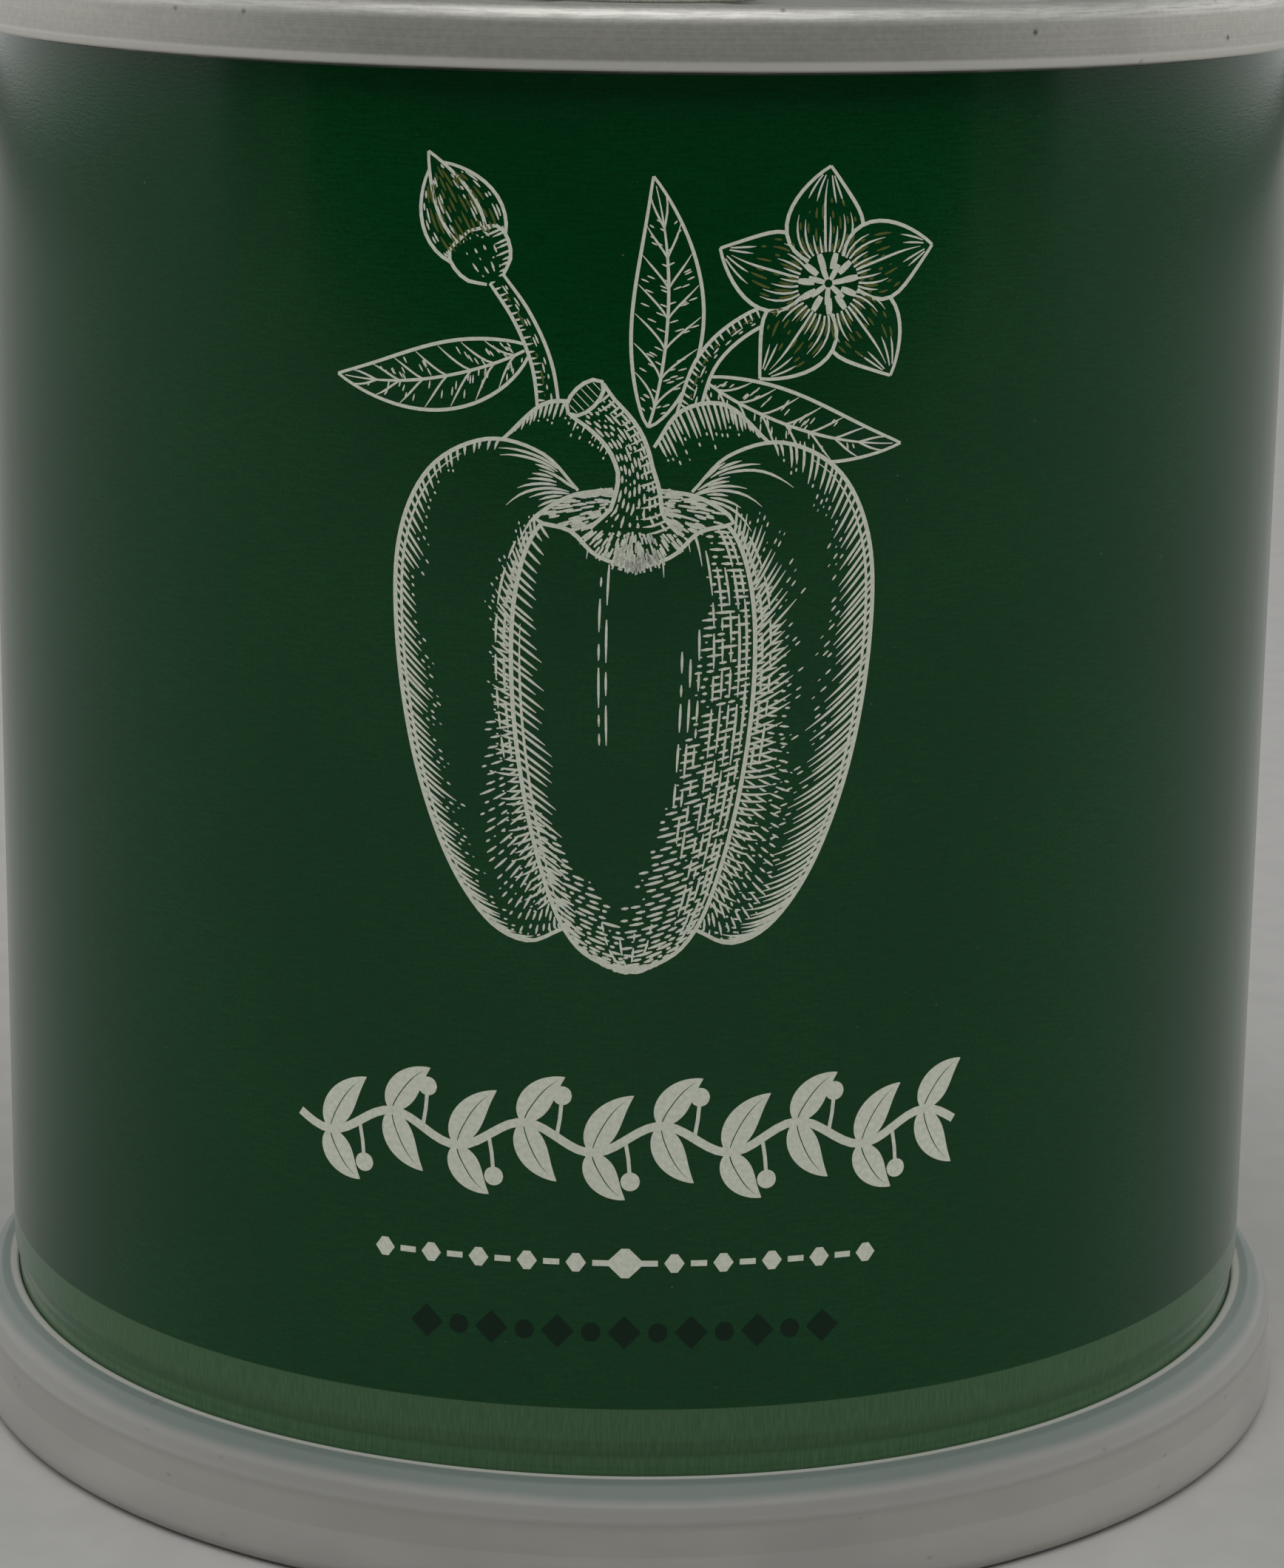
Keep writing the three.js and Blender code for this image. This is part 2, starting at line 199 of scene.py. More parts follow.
def turned(name, points, steps, centre=(0.0, 0.0)):
    """A closed outline turned a full circle round an upright axis."""
    on_axis = points[0][0] == 0 and points[-1][0] == 0
    outline_of(points if on_axis else [*points, points[0]])
    bpy.ops.mesh.select_all(action="SELECT")
    move(*centre)
    spin(steps, 2 * math.pi, centre)
    close_up()
    return named(name)


def named(name, angle=35):
    """Leaves edit mode, applies the piece's place, names it and smooths it."""
    bpy.ops.object.mode_set(mode="OBJECT")
    piece = bpy.context.object
    piece.name = name
    piece.data.name = name
    bpy.ops.object.transform_apply(location=True, rotation=True, scale=True)
    bpy.ops.object.shade_smooth_by_angle(angle=math.radians(angle))
    return piece


def settle(piece, material, slot, *nodes):
    """Gives a piece its finish, its body and what it stands for."""
    piece.data.materials.append(material)
    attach(piece, BODY)
    if nodes:
        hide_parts(*nodes)


def piece_of(name, places, faces):
    """A piece from places in millimetres and faces."""
    mesh = bpy.data.meshes.new(name)
    mesh.from_pydata([(x * MM, y * MM, z * MM) for x, y, z in places], [], faces)
    mesh.update()
    piece = bpy.data.objects.new(name, mesh)
    bpy.context.scene.collection.objects.link(piece)
    return piece


def rounded(path, bends=6):
    """A path of (x, y) or (x, y, radius) with its corners rounded."""
    points = []
    for i, (x, y, *radius) in enumerate(path):
        corner = np.array([x, y], float)
        if not radius or not radius[0]:
            points.append(corner)
            continue
        back = np.array(path[i - 1][:2], float) - corner
        on = np.array(path[i + 1][:2], float) - corner
        back /= np.hypot(*back)
        on /= np.hypot(*on)
        half = math.acos(np.clip(back @ on, -1, 1)) / 2
        middle = corner + (back + on) / np.hypot(*(back + on)) * radius[0] / math.sin(half)
        reach = radius[0] / math.tan(half)
        start, end = corner + back * reach - middle, corner + on * reach - middle
        sweep = math.atan2(start[0] * end[1] - start[1] * end[0], start @ end)
        for k in range(bends + 1):
            c, s = math.cos(sweep * k / bends), math.sin(sweep * k / bends)
            points.append(middle + np.array([c * start[0] - s * start[1], s * start[0] + c * start[1]]))
    return [tuple(p) for p in points]


def sheet(path, thickness):
    """The two sides of a sheet whose middle follows a path."""
    path = np.array(path)
    steps = np.diff(path, axis=0)
    steps /= np.hypot(*steps.T)[:, None]
    before, after = np.vstack([steps[:1], steps]), np.vstack([steps, steps[-1:]])
    along = before + after
    along /= np.hypot(*along.T)[:, None]
    across = np.stack([-along[:, 1], along[:, 0]], axis=1) * thickness / 2
    across /= np.sum(along * before, axis=1)[:, None]
    return [tuple(p) for p in path + across], [tuple(p) for p in path - across]


# ---- shader maths --------------------------------------------------------------------------


class Amount:
    """A shader socket that takes Python arithmetic."""

    def __init__(self, paint, socket):
        self.paint, self.socket = paint, socket

    def math(self, operation, *values):
        return self.paint.node("ShaderNodeMath", {"operation": operation}, dict(enumerate(values)))

    def __add__(self, other):
        return self.math("ADD", self, other)

    def __sub__(self, other):
        return self.math("SUBTRACT", self, other)

    def __rsub__(self, other):
        return self.math("SUBTRACT", other, self)

    def __mul__(self, other):
        return self.math("MULTIPLY", self, other)

    def __pow__(self, other):
        return self.math("POWER", self, other)

    __radd__ = __add__
    __rmul__ = __mul__


class Paint:
    """A procedural material in the making, with the place on the piece in millimetres."""

    def __init__(self, name):
        self.material = bpy.data.materials.new(name)
        self.material.use_nodes = True
        self.tree = self.material.node_tree
        self.tree.nodes.clear()
        self.place = self.node("ShaderNodeTexCoord", {}, {}, "Object")
        parts = self.node("ShaderNodeSeparateXYZ", {}, {0: self.place}).socket.node.outputs
        self.x, self.y, self.z = (Amount(self, part) * (1 / MM) for part in parts)

    def node(self, kind, settings, values, output=0):
        """One node: its type, its settings, its sockets' values or links, and the output that is used."""
        node = self.tree.nodes.new(kind)
        for key, value in settings.items():
            setattr(node, key, value)
        for key, value in values.items():
            socket = node.inputs[key]
            if isinstance(value, Amount):
                self.tree.links.new(value.socket, socket)
            elif socket.type == "RGBA":
                socket.default_value = (*value, 1)
            else:
                socket.default_value = value
        return Amount(self, node.outputs[output]) if node.outputs else None

    def radius(self):
        """The distance from the tin's axis."""
        return (self.x * self.x + self.y * self.y) ** 0.5

    def arc(self, radius):
        """The distance round the tin from its front."""
        return self.x.math("ARCTAN2", self.x, self.y * -1) * radius

    def vector(self, x, y, z=0.0):
        return self.node("ShaderNodeCombineXYZ", {}, {0: x, 1: y, 2: z})

    def noise(self, vector, scale, detail=2.0, roughness=0.5):
        values = {"Vector": vector, "Scale": scale, "Detail": detail, "Roughness": roughness}
        return self.node("ShaderNodeTexNoise", {}, values)

    def specks(self, vector, scale, size):
        """Scattered dots, 1 at their middles and 0 outside."""
        far = self.node("ShaderNodeTexVoronoi", {}, {"Vector": vector, "Scale": scale})
        return self.span(far, 0.0, size, 1.0, 0.0)

    def span(self, amount, low, high, to_low=0.0, to_high=1.0):
        return self.node(
            "ShaderNodeMapRange",
            {"interpolation_type": "SMOOTHSTEP"},
            {"Value": amount, "From Min": low, "From Max": high, "To Min": to_low, "To Max": to_high},
        )

    def mix(self, share, first, second):
        """Two colours mixed by a share of the second."""
        return self.node("ShaderNodeMix", {"data_type": "RGBA"}, {0: share, 6: first, 7: second}, 2)

    def mottle(self, amount, rgb, dark, pale, low=0.3, high=0.7):
        """A colour that runs from a darker to a paler factor of itself as an amount rises."""
        return self.mix(self.span(amount, low, high), scaled(rgb, dark), scaled(rgb, pale))

    def bump(self, height, distance, strength):
        values = {"Height": height, "Distance": distance * MM, "Strength": strength}
        return self.node("ShaderNodeBump", {}, values)

    def finish(self, colour, roughness, normal, metallic=0.0, **sockets):
        values = {"Base Color": colour, "Roughness": roughness, "Metallic": metallic, "Normal": normal}
        values.update({key.replace("_", " "): value for key, value in sockets.items()})
        shader = self.node("ShaderNodeBsdfPrincipled", {}, values)
        self.node("ShaderNodeOutputMaterial", {}, {"Surface": shader})
        return self.material


def scaled(rgb, factor):
    return tuple(min(1.0, c * factor) for c in rgb)


def wrap_finish(colours, sizes):
    """Semi-gloss print: dark green ground with level grain, a paler band with upright grain at the foot."""
    p = Paint("printed green wrap")
    arc = p.arc(WRAP_RADIUS)
    level = p.noise(p.vector(arc * 0.7, p.z * 9.0), 1.0, 3.0, 0.6)
    upright = p.noise(p.vector(arc * 9.0, p.z * 0.8), 1.0, 3.0, 0.6)
    cloud = p.noise(p.vector(arc, p.z), 0.09, 3.0)
    grain = p.noise(p.vector(arc, p.z), 5.5, 2.0)
    dark = p.mottle(level * 0.55 + grain * 0.45, colours.dark_green, 0.72, 1.3)
    dark = p.mix(p.span(cloud, 0.35, 0.65, 0, 0.35), dark, scaled(colours.dark_green, 0.7))
    pale = p.mottle(upright, colours.band_green, 0.85, 1.15)
    band = p.span(p.z, sizes.band - 0.04, sizes.band + 0.04, 1.0, 0.0)
    base = p.mix(band, dark, pale)
    dust = p.specks(p.vector(arc, p.z), 0.55, 0.045) * p.span(cloud, 0.45, 0.6)
    base = p.mix(dust * 0.5, base, (0.25, 0.27, 0.24))
    roughness = 0.11 + level * 0.05 + cloud * 0.04 + dust * 0.2
    relief = p.bump(level * 0.35 + grain * 0.65, 0.008, 0.5)
    return p.finish(base, roughness, relief, IOR=1.39, Specular_Tint=(0.88, 1.0, 0.92))


def ink_finish(name, rgb, spread=0.12, rough=0.42):
    """Printed ink with a slightly uneven lay."""
    p = Paint(name)
    arc = p.arc(WRAP_RADIUS)
    lay = p.noise(p.vector(arc, p.z), 4.0, 3.0, 0.6)
    wide = p.noise(p.vector(arc, p.z), 0.16, 2.0)
    base = p.mottle(lay, rgb, 1 - spread, 1 + spread / 2)
    base = p.mix(p.span(wide, 0.3, 0.7, 0.0, 0.25), base, scaled(rgb, 0.85))
    return p.finish(base, rough + lay * 0.1, p.bump(lay, 0.004, 0.4), IOR=1.35)


def tinplate_finish(colours, name):
    """Rolled tinplate: fine turning lines, a rubbed crown with a painted highlight, a painted highlight along
    the lower fold, and small stains.
    """
    p = Paint(name)
    arc, radius, rgb = p.arc(RIM_RADIUS), p.radius(), colours.tinplate
    lines = p.noise(p.vector(radius * 11.0, p.z * 11.0, arc * 0.05), 1.0, 4.0, 0.65)
    speckle = p.noise(p.place, 3200.0, 2.0, 0.6)
    stain = p.noise(p.place, 120.0, 3.0)
    spots = p.specks(p.vector(arc, p.z, radius), 0.42, 0.10)
    base = p.mottle(lines, rgb, 0.93, 1.06, 0.32, 0.68)
    base = p.mix(p.span(speckle, 0.42, 0.62, 0.0, 0.4), base, scaled(rgb, 1.18))
    base = p.mix(p.span(stain, 0.5, 0.75, 0.0, 0.25), base, scaled(rgb, 0.7))
    base = p.mix(spots * 0.75, base, (0.10, 0.09, 0.07))
    rub = p.noise(p.vector(arc * 0.45, p.z * 7.0, radius * 7.0), 1.0, 4.0, 0.7)
    # the crown is painted paler where the rub pattern falls: partly rubbed metal, partly a painted highlight
    crown = p.span(p.z, TIN_TOP - 1.05, TIN_TOP - 0.5) * p.span(radius, RIM_RADIUS - 1.5, RIM_RADIUS - 0.9)
    worn_and_highlight = crown * p.span(rub, 0.36, 0.6)
    # painted highlight: a pale band along the lower fold of the seam
    fold = p.span(p.z, TIN_TOP - 2.72, TIN_TOP - 2.5, 1.0, 0.0)
    fold = fold * p.span(radius, RIM_RADIUS - 0.5, RIM_RADIUS - 0.1)
    base = p.mix(worn_and_highlight * 0.3 + fold * 0.68, base, (0.95, 0.95, 0.90))
    roughness = 0.52 + lines * 0.08 + speckle * 0.06 + spots * 0.3 - worn_and_highlight * 0.05
    return p.finish(base, roughness, p.bump(lines * 0.6 + speckle * 0.4, 0.008, 0.5), 1.0)


def tab_finish(colours):
    """Stamped strip metal with a straight rolling grain and rub marks."""
    p = Paint("tab metal")
    grain = p.noise(p.vector(p.x * 7.0, p.y * 0.3, p.z), 1.0, 3.0, 0.6)
    rubs = p.noise(p.place, 400.0, 4.0, 0.6)
    base = p.mottle(grain, colours.tab, 0.88, 1.08)
    base = p.mix(p.span(rubs, 0.55, 0.75, 0.0, 0.3), base, scaled(colours.tab, 0.75))
    return p.finish(base, 0.26 + grain * 0.1 + rubs * 0.1, p.bump(grain, 0.01, 0.4), 1.0)


def plastic_finish(colours):
    """Milky moulded plastic: a painted highlight at the lip, painted shade on the shoulder and towards the
    foot, and a colder painted shade below the lip where the dark wrap lies behind.
    """
    p = Paint("milky plastic")
    arc, radius, rgb = p.arc(RIM_RADIUS), p.radius(), colours.plastic
    cloud = p.noise(p.place, 90.0, 3.0)
    fine = p.noise(p.place, 2600.0, 2.0)
    flow = p.noise(p.vector(arc * 0.12, p.z * 0.9), 1.0, 2.0)
    base = p.mottle(cloud, rgb, 0.93, 1.06)
    base = p.mix(p.span(flow, 0.35, 0.7, 0.0, 0.3), base, scaled(rgb, 0.9))
    height = p.z + cloud * 0.4
    # painted shade: darker from about 4.3 mm up, over the shoulder and the lip
    base = p.mix(p.span(height, 4.3, 5.3), base, scaled(rgb, 0.72))
    # painted shade, cold in tint: the dark wrap seen through the plastic just below the lip
    past_lip = WRAP_RADIUS + 0.2
    behind = p.span(height, 5.7, 6.15) * p.span(radius, past_lip, past_lip + 0.2)
    base = p.mix(behind * 0.72, base, (0.135, 0.195, 0.17))
    # painted highlight along the top of the lip
    lip = p.span(radius, past_lip, past_lip + 0.15, 1.0, 0.0)
    lip = lip * p.span(p.z, CAP_HIGH.z - 0.5, CAP_HIGH.z - 0.2)
    base = p.mix(lip * 0.6, base, scaled(rgb, 1.5))
    scuff = p.specks(p.vector(arc, p.z * 2.0), 0.35, 0.12)
    base = p.mix(scuff * 0.4, base, (0.16, 0.13, 0.10))
    # painted shade: darker towards the foot, where the saucer rounds under
    foot = p.span(p.z, 0.6, 1.9, 1.0, 0.0)
    base = p.mix(foot * 0.35, base, scaled(rgb, 0.72))
    return p.finish(
        base,
        0.40 + fine * 0.12 + cloud * 0.06,
        p.bump(fine * 0.5 + cloud * 0.5, 0.02, 0.3),
        Subsurface_Weight=0.35,
        Subsurface_Radius=(1.0, 0.95, 0.85),
        Subsurface_Scale=1.2 * MM,
        IOR=1.5,
    )


def loose_finish(name, dark, pale, fleck, scale, rough, depth):
    """Grains, crumbs or fibres: two tones, scattered flecks and a broken surface."""
    p = Paint(name)
    crumbs = p.noise(p.place, scale, 5.0, 0.7)
    wide = p.noise(p.place, scale / 6, 2.0)
    flecks = p.specks(p.place, scale * 0.6, 0.25)
    base = p.mix(p.span(crumbs, 0.35, 0.65), dark, pale)
    base = p.mix(flecks * p.span(wide, 0.4, 0.6) * 0.8, base, fleck)
    return p.finish(base, rough, p.bump(crumbs + flecks * 0.4, depth, 0.8))


# ---- pen work for the wrap, in millimetres: (round the tin from its front, height) ---------


class Plate:
    """An engraving: strokes of (points, widths), cut where a nearer shape hides them."""

    def __init__(self, seed, covers=()):
        self.strokes = []
        self.covers = list(covers)
        self.random = np.random.default_rng(seed)

    def cover(self, outline):
        self.covers.append(np.asarray(outline))

    def pen(self, points, width, start=0.35, end=0.35):
        """One stroke; start and end are the shares of its width left at its ends."""
        points = np.asarray(points, float)
        if len(points) < 2:
            return
        along = distance(points)
        if along[-1] < 0.1:
            return
        t = along / along[-1]
        swell = np.minimum(1, np.minimum(start + (1 - start) * t / 0.2, end + (1 - end) * (1 - t) / 0.35))
        hidden = np.zeros(len(points), bool)
        for outline in self.covers:
            hidden |= inside(points, outline)
        edges = np.flatnonzero(np.diff(np.concatenate([[0], (~hidden).astype(int), [0]])))
        for low, high in zip(edges[::2], edges[1::2]):
            if high - low > 1:
                self.strokes.append((points[low:high], (width * swell)[low:high]))

    def fill(self, points, widths):
        """A band of solid ink of the given widths, which nothing hides."""
        points = np.asarray(points, float)
        self.strokes.append((points, np.broadcast_to(widths, len(points))))

    def dashes(self, points, width, on, off):
        """A broken line."""
        points = resample(points, 0.12)
        along = distance(points)
        at = self.random.uniform(0, off)
        while at < along[-1]:
            stretch = on * self.random.uniform(0.4, 1.5)
            self.pen(points[(along >= at) & (along <= at + stretch)], width, 0.5, 0.4)
            at += stretch + off * self.random.uniform(0.5, 1.4)

    def hatch(self, shape, spacing, reach, sag, side, width, slant=0.0, span=(0.02, 0.98), tail=True):
        """Cross contours that leave one edge of a shape and reach a share of the way across it."""
        count = int(distance(shape.right if side else shape.left)[-1] / spacing)
        for k in range(count):
            t = (k + 0.5 + self.random.uniform(-0.22, 0.22)) / count
            far = reach(t) * self.random.uniform(0.72, 1.12)
            if not span[0] < t < span[1] or far < 0.02:
                continue
            share = np.linspace(0.0, far, 22)
            line = shape.place(1 - share if side else share, t + slant * share, sag(t))
            solid = max(3, int(22 * self.random.uniform(0.6, 0.85))) if tail else 22
            self.pen(line[:solid], width, 0.9, 0.25)
            if tail and self.random.random() < 0.75:
                self.pen(line[solid + 1 : solid + 4], width * 0.75, 0.6, 0.5)
                self.pen(line[solid + 5 : solid + 7], width * 0.6, 0.6, 0.5)

    def bricks(self, shape, spacing, reach, sag, side, width, slant):
        """Cross contours broken into staggered short strokes, like brickwork."""
        count = int(distance(shape.right if side else shape.left)[-1] / spacing)
        for k in range(count):
            t = (k + 0.5 + self.random.uniform(-0.1, 0.1)) / count
            far = reach(t) * self.random.uniform(0.86, 1.1)
            if far < 0.03:
                continue
            share = np.linspace(0.0, far, 40)
            line = shape.place(1 - share if side else share, t + slant * share, sag(t))
            self.dashes(line[1 if k % 2 else 2 :], width, 0.72, 0.13)

    def along(self, shape, shares, span, width=0.11, on=0.0, off=0.35):
        """Lines that run the length of a shape, broken where on isn't 0."""
        for share in shares:
            low = span[0] + self.random.uniform(0, 0.05)
            high = span[1] - self.random.uniform(0, 0.08)
            t = np.linspace(low, max(high, low + 0.02), 90)
            line = shape.place(np.full(90, share), t)
            if on:
                self.dashes(line, width, on, off)
            else:
                self.pen(line, width, 0.3, 0.2)

    def edge(self, shape, width=0.18):
        self.pen(shape.left, width, 0.8, 0.8)
        self.pen(shape.right, width, 0.8, 0.8)


class Shape:
    """A swelling between two edges that run from its top to its foot."""

    def __init__(self, left, right):
        self.left, self.right = resample(left, count=160), resample(right, count=160)
        self.outline = np.vstack([self.left, self.right[::-1]])

    def place(self, s, t, sag=0.0):
        """The point a share s of the way across and t of the way down, bowed downwards by sag."""
        s = np.asarray(s, float)
        t = np.clip(np.broadcast_to(t, s.shape).astype(float), 0, 1)
        k = np.linspace(0, 1, 160)
        a, b = (
            np.stack([np.interp(t, k, edge[:, i]) for i in (0, 1)], axis=-1)
            for edge in (self.left, self.right)
        )
        p = a + (b - a) * s[..., None]
        p[..., 1] -= sag * np.hypot(*(b - a).T) * 4 * s * (1 - s)
        return p

    def line(self, s, start, end, count):
        """A line along the shape at a share s of the way across it."""
        return self.place(np.full(count, s), np.linspace(start, end, count))


def distance(points):
    return np.concatenate([[0], np.cumsum(np.hypot(*np.diff(points, axis=0).T))])


def resample(points, step=None, count=None):
    points = np.asarray(points, float)
    along = distance(points)
    at = np.linspace(0, along[-1], count or max(3, int(along[-1] / step) + 1))
    return np.stack([np.interp(at, along, points[:, k]) for k in (0, 1)], axis=1)


def inside(points, outline):
    """Which points lie inside a closed outline."""
    x, y = points[:, 0, None], points[:, 1, None]
    x0, y0 = outline[:, 0], outline[:, 1]
    x1, y1 = np.roll(x0, -1), np.roll(y0, -1)
    spans = (y0 > y) != (y1 > y)
    rise = np.where(y1 == y0, 1.0, y1 - y0)
    return np.sum(spans & (x < x0 + (y - y0) / rise * (x1 - x0)), axis=1) % 2 == 1


def curve(*points, per=14):
    """A smooth line through points."""
    p = np.asarray(points, float)
    p = np.vstack([2 * p[0] - p[1], p, 2 * p[-1] - p[-2]])
    t = np.linspace(0, 1, per, endpoint=False)[:, None]
    spans = [
        0.5 * (2 * b + (c - a) * t + (2 * a - 5 * b + 4 * c - d) * t**2 + (3 * b - a - 3 * c + d) * t**3)
        for a, b, c, d in zip(p, p[1:], p[2:], p[3:])
    ]
    return np.vstack(spans + [p[-2][None]])


def table(*pairs):
    """A value that follows (t, value) pairs."""
    t, v = zip(*pairs)
    return lambda x: np.interp(x, t, v)


def square_to(line):
    """A unit step to the left of a line, at each of its points."""
    tangent = np.gradient(line, axis=0)
    tangent /= np.maximum(np.hypot(*tangent.T), 1e-9)[:, None]
    return np.stack([-tangent[:, 1], tangent[:, 0]], axis=1)


def rod(spine, widths):
    """A stalk whose widths are given at shares of its length."""
    spine = resample(spine, count=90)
    half = np.interp(np.linspace(0, 1, 90), *widths)[:, None] / 2
    across = square_to(spine) * half
    return Shape(spine + across, spine - across)


def blade(root, tip, width, bend=0.0, fullness=0.8):
    """A pointed leaf or petal."""
    root, tip = np.array(root, float), np.array(tip, float)
    t = np.linspace(0, 1, 60)
    along = tip - root
    bow = (bend * 4 * t * (1 - t))[:, None]
    middle = root + along * t[:, None] + np.array([-along[1], along[0]]) * bow
    half = (width / 2 * np.sin(np.pi * t**fullness) ** 0.9)[:, None]
    across = square_to(middle) * half
    return Shape(middle + across, middle - across)


def mirrored(points):
    """The same curve on the other side of the upright centre line."""
    return np.asarray(points) * (-1, 1)


def pepper(plate):
    """An upright bell pepper of three even lobes, from its stem back to its rear lobes."""
    flat = table((0, 0), (1, 0))
    spine = curve((0.0, 56.4), (0.1, 58.8), (-0.6, 61.0), (-2.5, 63.0))
    stem = rod(spine, ([0, 0.12, 0.4, 0.85, 1], [4.4, 2.6, 1.7, 1.9, 2.3]))
    turn = np.linspace(0, 2 * np.pi, 40)
    tip, along = spine[-1], (spine[-1] - spine[-3]) / np.hypot(*(spine[-1] - spine[-3]))
    across = np.array([-along[1], along[0]])
    cut = tip + 1.15 * np.cos(turn)[:, None] * across + 0.6 * np.sin(turn)[:, None] * along
    plate.pen(cut, 0.2, 0.9, 0.9)
    for share in np.linspace(-0.8, 0.8, 6):
        wide = 0.45 * np.sqrt(1 - share * share)
        middle = tip + share * across
        plate.pen([middle - wide * along, middle + wide * along], 0.13)
    plate.cover(cut)
    plate.edge(stem, 0.22)
    for share in np.linspace(0.12, 0.88, 8):
        plate.along(stem, (share,), (0.0, 0.96), 0.145, 0.55, 0.16)
    plate.hatch(stem, 0.4, table((0, 0.6), (1, 0.5)), table((0, 0.2), (1, 0.1)), 1, 0.13, 0.06)
    plate.cover(stem.outline)

    # the calyx: an even skirt, its crown filled with short strokes
    skirt = curve((-1.1, 58.5), (-3.2, 58.1), (-4.9, 56.9), (-3.2, 56.4), (-1.9, 55.2), (0.0, 54.5))
    calyx = Shape(skirt, mirrored(skirt))
    plate.edge(calyx, 0.22)
    crown = np.array((0.0, 58.0))
    for _ in range(480):
        s, t = plate.random.uniform(0.03, 0.97, 2)
        spot = calyx.place(s, t)
        ray = spot - crown
        ray = ray / max(np.hypot(*ray), 0.1) * plate.random.uniform(0.15, 0.4)
        plate.pen([spot - ray, spot, spot + ray], 0.13, 0.7, 0.6)
    plate.cover(calyx.outline)

    fold = ((-5.2, 55.8), (-6.0, 52.4), (-6.0, 47.6), (-5.3, 42.4), (-4.1, 37.8), (-2.9, 35.4))
    side = curve((-0.4, 55.2), (-1.8, 56.8), (-3.8, 57.2), *fold, (-1.5, 34.3), (0.0, 34.0))
    front = Shape(side, mirrored(side))
    plate.pen(front.left, 0.22, 0.8, 0.9)
    plate.pen(front.right, 0.22, 0.8, 0.9)
    bow = table((0, -0.10), (0.25, -0.04), (0.6, 0.08), (1, 0.2))
    shade = table((0.03, 0.08), (0.2, 0.16), (0.45, 0.24), (0.65, 0.36), (0.8, 0.55), (0.97, 0.6))
    plate.bricks(front, 0.34, shade, bow, 1, 0.16, 0.05)
    shade = table((0, 0), (0.6, 0.0), (0.7, 0.15), (0.8, 0.45), (0.97, 0.6))
    plate.bricks(front, 0.34, shade, bow, 0, 0.16, 0.04)
    shade = table((0, 0.05), (0.3, 0.1), (0.5, 0.14), (0.8, 0.14), (0.97, 0.05))
    plate.hatch(front, 0.46, shade, flat, 0, 0.14, 0.3, (0.16, 0.86), False)
    # lines down the lobe: shares across, reach down, width, dash, gap
    for lines in (
        ((0.035,), (0.3, 0.92), 0.13),
        ((0.965, 0.935), (0.14, 0.9), 0.14, 3.0, 0.15),
        ((0.9, 0.865, 0.83), (0.2, 0.9), 0.12, 1.8, 0.25),
        ((0.3, 0.42, 0.54, 0.66, 0.78), (0.84, 1.0), 0.12, 0.8, 0.2),
        ((0.7, 0.735, 0.77), (0.34, 0.74), 0.13, 1.3, 0.4),
        ((0.36, 0.39), (0.2, 0.62), 0.12, 1.6, 0.4),
    ):
        plate.along(front, *lines)
    for share in np.linspace(0.2, 0.8, 15):
        plate.along(front, (share,), (0.08, plate.random.uniform(0.2, 0.27)), 0.14)
    plate.cover(front.outline)

    # the side lobes match; the one away from the light is hatched darker
    outer = curve(
        *((-2.8, 58.4), (-4.6, 60.2), (-7.4, 60.8), (-10.3, 59.2), (-11.9, 55.6), (-12.0, 50.4)),
        *((-11.1, 44.6), (-9.4, 39.6), (-7.3, 36.4), (-5.2, 35.3), (-3.4, 36.0)),
    )
    inner = curve((-2.4, 58.0), (-4.2, 57.2), *fold[:-1], (-3.4, 36.0))
    rise = table((0, -0.1), (0.4, 0.0), (1, 0.25))
    for lobe, near, far, dark in (
        (Shape(outer, inner), 0, 1, 0.6),
        (Shape(mirrored(inner), mirrored(outer)), 1, 0, 1.0),
    ):
        plate.pen(lobe.left if near == 0 else lobe.right, 0.22, 0.7, 0.9)
        shade = table((0, 0.2 * dark), (0.25, 0.36 * dark), (0.5, 0.55 * dark), (0.97, 0.75 * dark))
        plate.hatch(lobe, 0.42, shade, rise, near, 0.14, 0.1, (0.12, 0.96))
        shade = table((0, 0.1), (0.3, 0.42 * dark), (0.6, 0.4 * dark), (0.97, 0.4))
        plate.hatch(lobe, 0.36, shade, rise, far, 0.13, -0.08, (0.12, 0.94))
        shade = table((0, 0.0), (0.5, 0.3 * dark), (0.8, 0.6), (0.97, 0.8))
        plate.bricks(lobe, 0.36, shade, rise, far, 0.13, 0.05)
        plate.along(lobe, (abs(near - 0.055),), (0.16, 0.95), 0.14)
        plate.along(lobe, (abs(far - 0.06), abs(far - 0.13)), (0.14, 0.7), 0.13, 1.5, 0.35)
        for share in np.linspace(0.1, 0.9, 12):
            plate.along(lobe, (share,), (0.01, plate.random.uniform(0.12, 0.2)), 0.14)
        plate.cover(lobe.outline)

    low = curve((-1.2, 58.8), (-3.0, 59.8), (-4.8, 60.4), (-6.6, 60.8))
    high = curve((-0.9, 60.6), (-2.2, 62.4), (-4.4, 62.7), (-6.6, 60.8))
    for turn, depth in ((np.asarray, 0.5), (mirrored, 0.85)):
        rear = Shape(turn(low), turn(high))
        plate.pen(rear.right, 0.21, 0.8, 0.8)
        plate.hatch(rear, 0.28, table((0, 0.9), (0.5, depth), (1, 0.4)), flat, 1, 0.14, 0.1)
        plate.cover(rear.outline)


